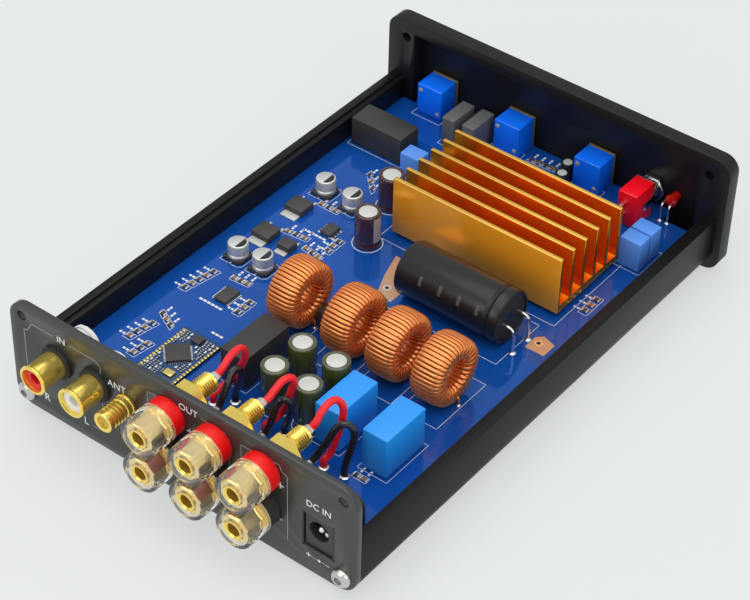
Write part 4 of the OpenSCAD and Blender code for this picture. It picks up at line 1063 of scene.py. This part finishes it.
class AMP_OT_controls(bpy.types.Operator):
    """Make the control bodies, the knobs, the switch and the lamp"""

    bl_idname = "amp.controls"
    bl_label = "Controls"

    def execute(self, context):
        back, front = 167.3, 175.3
        bodies, rivets = [], []
        for x in POTS:
            bodies.append(block((x - 4.7, back, TOP + 0.2), (x + 4.7, front, TOP + 11), 0.4, 3))
            for dx, dz in ((-3.3, 8.9), (3.3, 2.2)):
                rivets.append(turned([(0.75, 0), (0.7, 0.12), (0.4, 0.25)], (x + dx, back, TOP + dz), "-Y", 16))
        finished("control_boxes", bodies, "pot_blue", nodes=["pot_bodies"])
        finished("control_rivets", rivets, "ink_grey")
        softened("pot_plates", "control_plates", "plate_brass", 0.1)
        softened("panel_nuts", "front_nuts", "nickel", 0.15)
        for i, x in enumerate(POTS, 1):
            body = f"control_{i}"
            softened(f"pot_shaft_{i}", f"shaft_{i}", "nickel", 0.15, body)
            softened(f"knob_{i}", f"dial_{i}", "knob_black", 0.25, body)
            line = block((x - 0.45, 193.25, CONTROL_Z + 4.3), (x + 0.45, 193.55, CONTROL_Z + 7.4), 0.1)
            finished(f"dial_line_{i}", [line], "ink_white", body)

        x = SWITCH_X
        box = block((x - 3.2, 161, TOP + 0.1), (x + 3.2, 170.6, TOP + 12), 0.3, 3)
        finished("switch_box", [box], "switch_red", nodes=["switch_body"])
        lugs = [block((x - 1.4, 157, z), (x - 0.2, 161.3, z + 0.6), 0.12) for z in (17.4, 13.2)]
        finished("switch_lugs", lugs, "tin")
        softened("switch_bushing", "switch_neck", "nickel", 0.1)
        softened("switch_lever", "switch_bat", "nickel", 0, "toggle")

        lens = turned([(1.9, 0), (1.9, 1.0), (1.5, 1.05), (1.5, 4.3), (1.3, 5.05), (0.85, 5.55), (0.3, 5.78)],
                      LAMP, "Y", 32)
        finished("lamp_lens", [lens], "lamp_red", nodes=["power_led"])
        legs = [tube([(x, 173.3, 15.3), (x, 170.9, 15.3), (x, 170.1, 14.7), (x, y, 13.6), (x, y, TOP)], 0.3)
                for x, y in LAMP_FEET]
        finished("lamp_legs", legs, "tin", nodes=["power_led"])
        return {"FINISHED"}


class AMP_OT_sockets(bpy.types.Operator):
    """Make the signal, aerial and supply sockets"""

    bl_idname = "amp.sockets"
    bl_label = "Sockets"

    def execute(self, context):
        shells, rings = [], []
        for x, z in SOCKETS:
            shells.append(turned([(3.6, 10.0), (4.2, 10.0), (4.5, 9.8), (4.55, 9.45), (4.15, 8.9), (4.15, -5),
                                  (3.55, -5), (3.55, 9.6)], (x, 0, z), "-Y", 48, closed=False))
            rings.append(turned([(4.2, 1.3), (5.0, 1.2), (5.25, 0.95), (5.25, 0), (4.2, 0)],
                                (x, 0, z), "-Y", 40, closed=False))
        finished("signal_shells", shells, "gold", nodes=["rca_shells"])
        finished("signal_rings", rings, "rubber", nodes=["rca_rings"])
        for (x, z), colour, slot, node in zip(SOCKETS, ("insert_red", "nylon"), ("insert_red", "white_nylon"),
                                              ("rca_insert_red", "rca_insert_white")):
            core = turned([(3.5, 8.8), (2.0, 8.8), (1.7, 8.6), (1.6, 8.2), (1.6, -1.8), (3.5, -1.8)],
                          (x, 0, z), "-Y", 40, closed=False)
            finished(node.replace("rca_insert", "socket_core"), [core], colour, nodes=[node])
        backs = [turned([(4.3, 2.0), (4.3, far - 1.6), (4.8, far - 1.5), (4.8, far - 0.3), (4.5, far), (1.2, far)],
                        (x, 0, z), "Y", 14) for (x, z), far in zip(SOCKETS, (12, 10))]
        finished("socket_backs", backs, "nylon", nodes=["rca_bodies"])

        # Aerial socket with a cut thread
        x, z = AERIAL
        outline = [(1.95, 9.3), (2.3, 9.5), (2.9, 9.5), (3.1, 9.3), (3.1, 8.6)]
        for i in range(5):
            level = 8.3 - i * 1.15
            outline += [(3.1, level), (3.1, level - 0.5), (2.72, level - 0.65), (2.72, level - 1.0)]
        outline += [(3.1, 2.4), (3.1, -3.0), (1.0, -3.0), (1.0, 7.0), (1.95, 7.0)]
        barrel = turned(outline, (x, 0, z), "-Y", 40, closed=False)
        nut = turned([(3.3, 0), (3.4, 0.1), (3.4, 0.75), (3.25, 0.9)], (x, 0, z), "-Y", 32)
        stem = block((x - 3.2, 2.6, TOP), (x + 3.2, 11, z + 3.2), 0.2)
        finished("aerial_barrel", [barrel, nut, stem], "gold", nodes=["antenna_connector"])
        core = turned([(1.9, 6.6), (1.9, 7.3), (0.75, 7.3), (0.7, 7.0), (0.7, 4.5)], (x, 0, z), "-Y", 24)
        finished("aerial_core", [core], "nylon")

        # Supply socket
        softened("dc_jack", "supply_socket_body", "moulded_black", 0.2)
        softened("dc_pin", "supply_pin", "tin", 0)
        liner = turned([(2.95, 0.1), (3.12, 0.3), (3.12, 9.4), (3.0, 9.4)], SUPPLY, "Y", 40, closed=False)
        finished("supply_liner", [liner], "rubber")
        leaf = block((48.6, 1.4, TOP + 4.5), (49.9, 8.6, TOP + 6.3), 0.2)
        finished("supply_leaf", [leaf], "tin")
        return {"FINISHED"}


class AMP_OT_posts(bpy.types.Operator):
    """Make the six binding posts"""

    bl_idname = "amp.posts"
    bl_label = "Binding posts"

    def execute(self, context):
        x, z = POSTS[0]
        collar = turned([(3.1, 4.1), (5.5, 4.1), (5.8, 3.8), (5.8, 0.3), (5.6, 0), (3.7, 0), (3.7, -2), (5.5, -2),
                         (5.5, -4.4), (3.1, -4.4)], (x, 0, z), "-Y", 48, closed=False)
        places = [(px, 0, pz) for px, pz in POSTS]
        collars = spread(collar, places)
        finished("post_collars_red", collars[:3], "collar_red", nodes=["terminal_collars_red"])
        finished("post_collars_black", collars[3:], "moulded_black",
                 nodes=["terminal_collars_black"])

        # Studs with a threaded end and a nut
        outline = [(2.0, 12.1), (2.4, 12.5), (2.55, 12.6), (2.85, 12.6), (3.0, 12.4), (3.0, -9.4)]
        for i in range(8):
            level = -9.6 - i * 0.8
            outline += [(3.0, level), (2.62, level - 0.4)]
        outline += [(2.9, -16.2), (2.6, -16.6), (1.2, -16.6), (0.6, -16.0), (0.6, 1.6), (2.0, 1.6)]
        stud = turned(outline, (x, 0, z), "-Y", 36, closed=False)
        nut = turned([(4.9, 0), (5.19, 0.3), (5.19, 4.7), (4.9, 5.0)], (x, 4.4, z), "Y", 6, math.pi / 6)
        finished("post_studs", spread(joined(stud, nut), places), "gold", nodes=["terminal_studs"])

        cup = turned([(1.2, 0), (1.75, 0.1), (1.75, 1.6), (1.45, 2.6), (1.15, 2.7)], (x, 16.3, z), "Y", 10)
        finished("solder_cups", spread(cup, places), "tin")

        # Clear caps round eight-sided sleeves with a ring of beads
        cap = turned([(3.05, 12.6), (5.3, 12.6), (5.75, 12.4), (6.0, 12.0), (6.0, 4.4), (5.65, 4.4), (5.65, 5.6),
                      (4.75, 5.7), (4.75, 11.8), (3.05, 11.8)], (x, 0, z), "-Y", 48, closed=False)
        barrel = turned([(3.32, 11.7), (4.2, 11.7), (4.6, 11.3), (4.6, 5.4), (3.32, 5.4)],
                        (x, 0, z), "-Y", 8, math.pi / 8, closed=False)
        flange = turned([(3.05, 5.4), (4.7, 5.4), (5.5, 4.9), (5.5, 4.4), (5.3, 4.3), (3.05, 4.3)],
                        (x, 0, z), "-Y", 48, closed=False)
        beads = turned([(0.1, 0), (0.26, 0.1), (0.26, 0.4), (0.1, 0.5)], (x + 5.1, -4.9, z), "-Y", 6)
        with edit(beads):
            bpy.ops.mesh.spin(steps=39, dupli=True, angle=math.tau * 39 / 40, center=at(x, 0, z), axis=(0, 1, 0))
            outward()
        caps, sleeves = spread(cap, places), spread(joined(barrel, flange, beads), places)
        for i, (shell, sleeve) in enumerate(zip(caps, sleeves), 1):
            body = f"post_cap_{i}"
            finished(f"post_shell_{i}", [shell], "clear", body, [f"terminal_cap_{i}"])
            finished(f"post_sleeve_{i}", [sleeve], "pale_gold", body, [f"terminal_sleeve_{i}"])
        return {"FINISHED"}


class AMP_OT_wires(bpy.types.Operator):
    """Run the six wires from the posts to the board"""

    bl_idname = "amp.wires"
    bl_label = "Wires"

    def execute(self, context):
        red = (
            ((0, 1.6, 0), (0.5, 4.2, 1.9), (0.1, 8, 3.3), (-0.3, 12.4, 2.7), (-0.7, 14.8, -1.5), (-2.5, 15.2, -6.6),
             (-3.9, 14, -10.8), (-6.3, 10.8, -14.3)),
            ((0, 1.6, 0), (0.4, 3.6, 0.2), (0.6, 6.6, 1.8), (0.9, 10.2, 2.9), (1.6, 12, 2.6), (1.9, 12.8, 0.6),
             (1.1, 12.7, -2.4), (0.2, 12.5, -5.8), (-1.1, 12.2, -9.4), (-2.2, 11, -12.9)),
            ((0, 1.6, 0), (0.8, 3.4, 1.8), (1, 6.2, 4.5), (1.3, 9.4, 5.4), (1.7, 11.2, 4.7), (2.6, 12.4, 2.5),
             (2.6, 12.6, -1.2), (2.4, 12.1, -4.5), (1.8, 10.8, -9), (0.8, 9.4, -14.2)),
        )
        black = (
            ((0, 1.6, 0), (-0.2, 5, 3.6), (-0.5, 7.6, 6.6), (-0.8, 9.6, 8.4), (-0.5, 11, 8.6), (-0.1, 11.8, 7.4),
             (-0.2, 12.2, 5.2), (-0.9, 12.3, 2.4)),
            ((0, 1.6, 0), (0.4, 4.4, 3), (0.2, 6.4, 5.8), (0.4, 7.8, 7.8), (1.4, 9.2, 9.2), (2.6, 10, 8.2),
             (2.8, 10.4, 5.2), (1.6, 11, 1)),
            ((0, 1.6, 0), (1.4, 4.6, 3.4), (2.6, 7, 7), (3.5, 9, 10), (4.9, 10.5, 11.1), (6.5, 11.6, 10.1),
             (7.2, 11.8, 7.4), (6.9, 10.8, 3.2)),
        )
        start = 16.6
        for name, bends, ends, row in (("red", red, RED_ENDS, POSTS[:3]), ("black", black, BLACK_ENDS, POSTS[3:])):
            runs = []
            for bend, (ex, ey), (px, pz) in zip(bends, ends, row):
                route = [(px, start, pz)] + [(px + a, start + b, pz + c) for a, b, c in bend]
                runs.append(tube(route + [(ex, ey, TOP + 2.4), (ex, ey, TOP)], 1.05))
            finished(f"{name}_leads", runs, f"wire_{name}", nodes=[f"{name}_wires"])
        return {"FINISHED"}


STEPS = (AMP_OT_stage, AMP_OT_case, AMP_OT_print, AMP_OT_board, AMP_OT_heatsink, AMP_OT_coils, AMP_OT_capacitors,
         AMP_OT_boxes, AMP_OT_chips, AMP_OT_module, AMP_OT_controls, AMP_OT_sockets, AMP_OT_posts, AMP_OT_wires)


class AMP_PT_sidebar(bpy.types.Panel):
    """Lists the steps and the settings"""

    bl_idname = "AMP_PT_sidebar"
    bl_label = "Amplifier"
    bl_space_type = "VIEW_3D"
    bl_region_type = "UI"
    bl_category = "Amplifier"

    def draw(self, context):
        for group in (context.scene.amplifier_sizes, context.scene.amplifier_colours):
            for key in group.bl_rna.properties.keys():
                if key not in ("rna_type", "name"):
                    self.layout.prop(group, key)
        for step in STEPS:
            self.layout.operator(step.bl_idname)


CLASSES = (AmplifierSizes, AmplifierColours, *STEPS, AMP_PT_sidebar)


def register():
    for kind in CLASSES:
        bpy.utils.register_class(kind)
    bpy.types.Scene.amplifier_sizes = PointerProperty(type=AmplifierSizes)
    bpy.types.Scene.amplifier_colours = PointerProperty(type=AmplifierColours)


def unregister():
    del bpy.types.Scene.amplifier_colours
    del bpy.types.Scene.amplifier_sizes
    for kind in reversed(CLASSES):
        bpy.utils.unregister_class(kind)


def main():
    register()
    for step in STEPS:
        group, name = step.bl_idname.split(".")
        getattr(getattr(bpy.ops, group), name)()


if __name__ == "__main__":
    main()
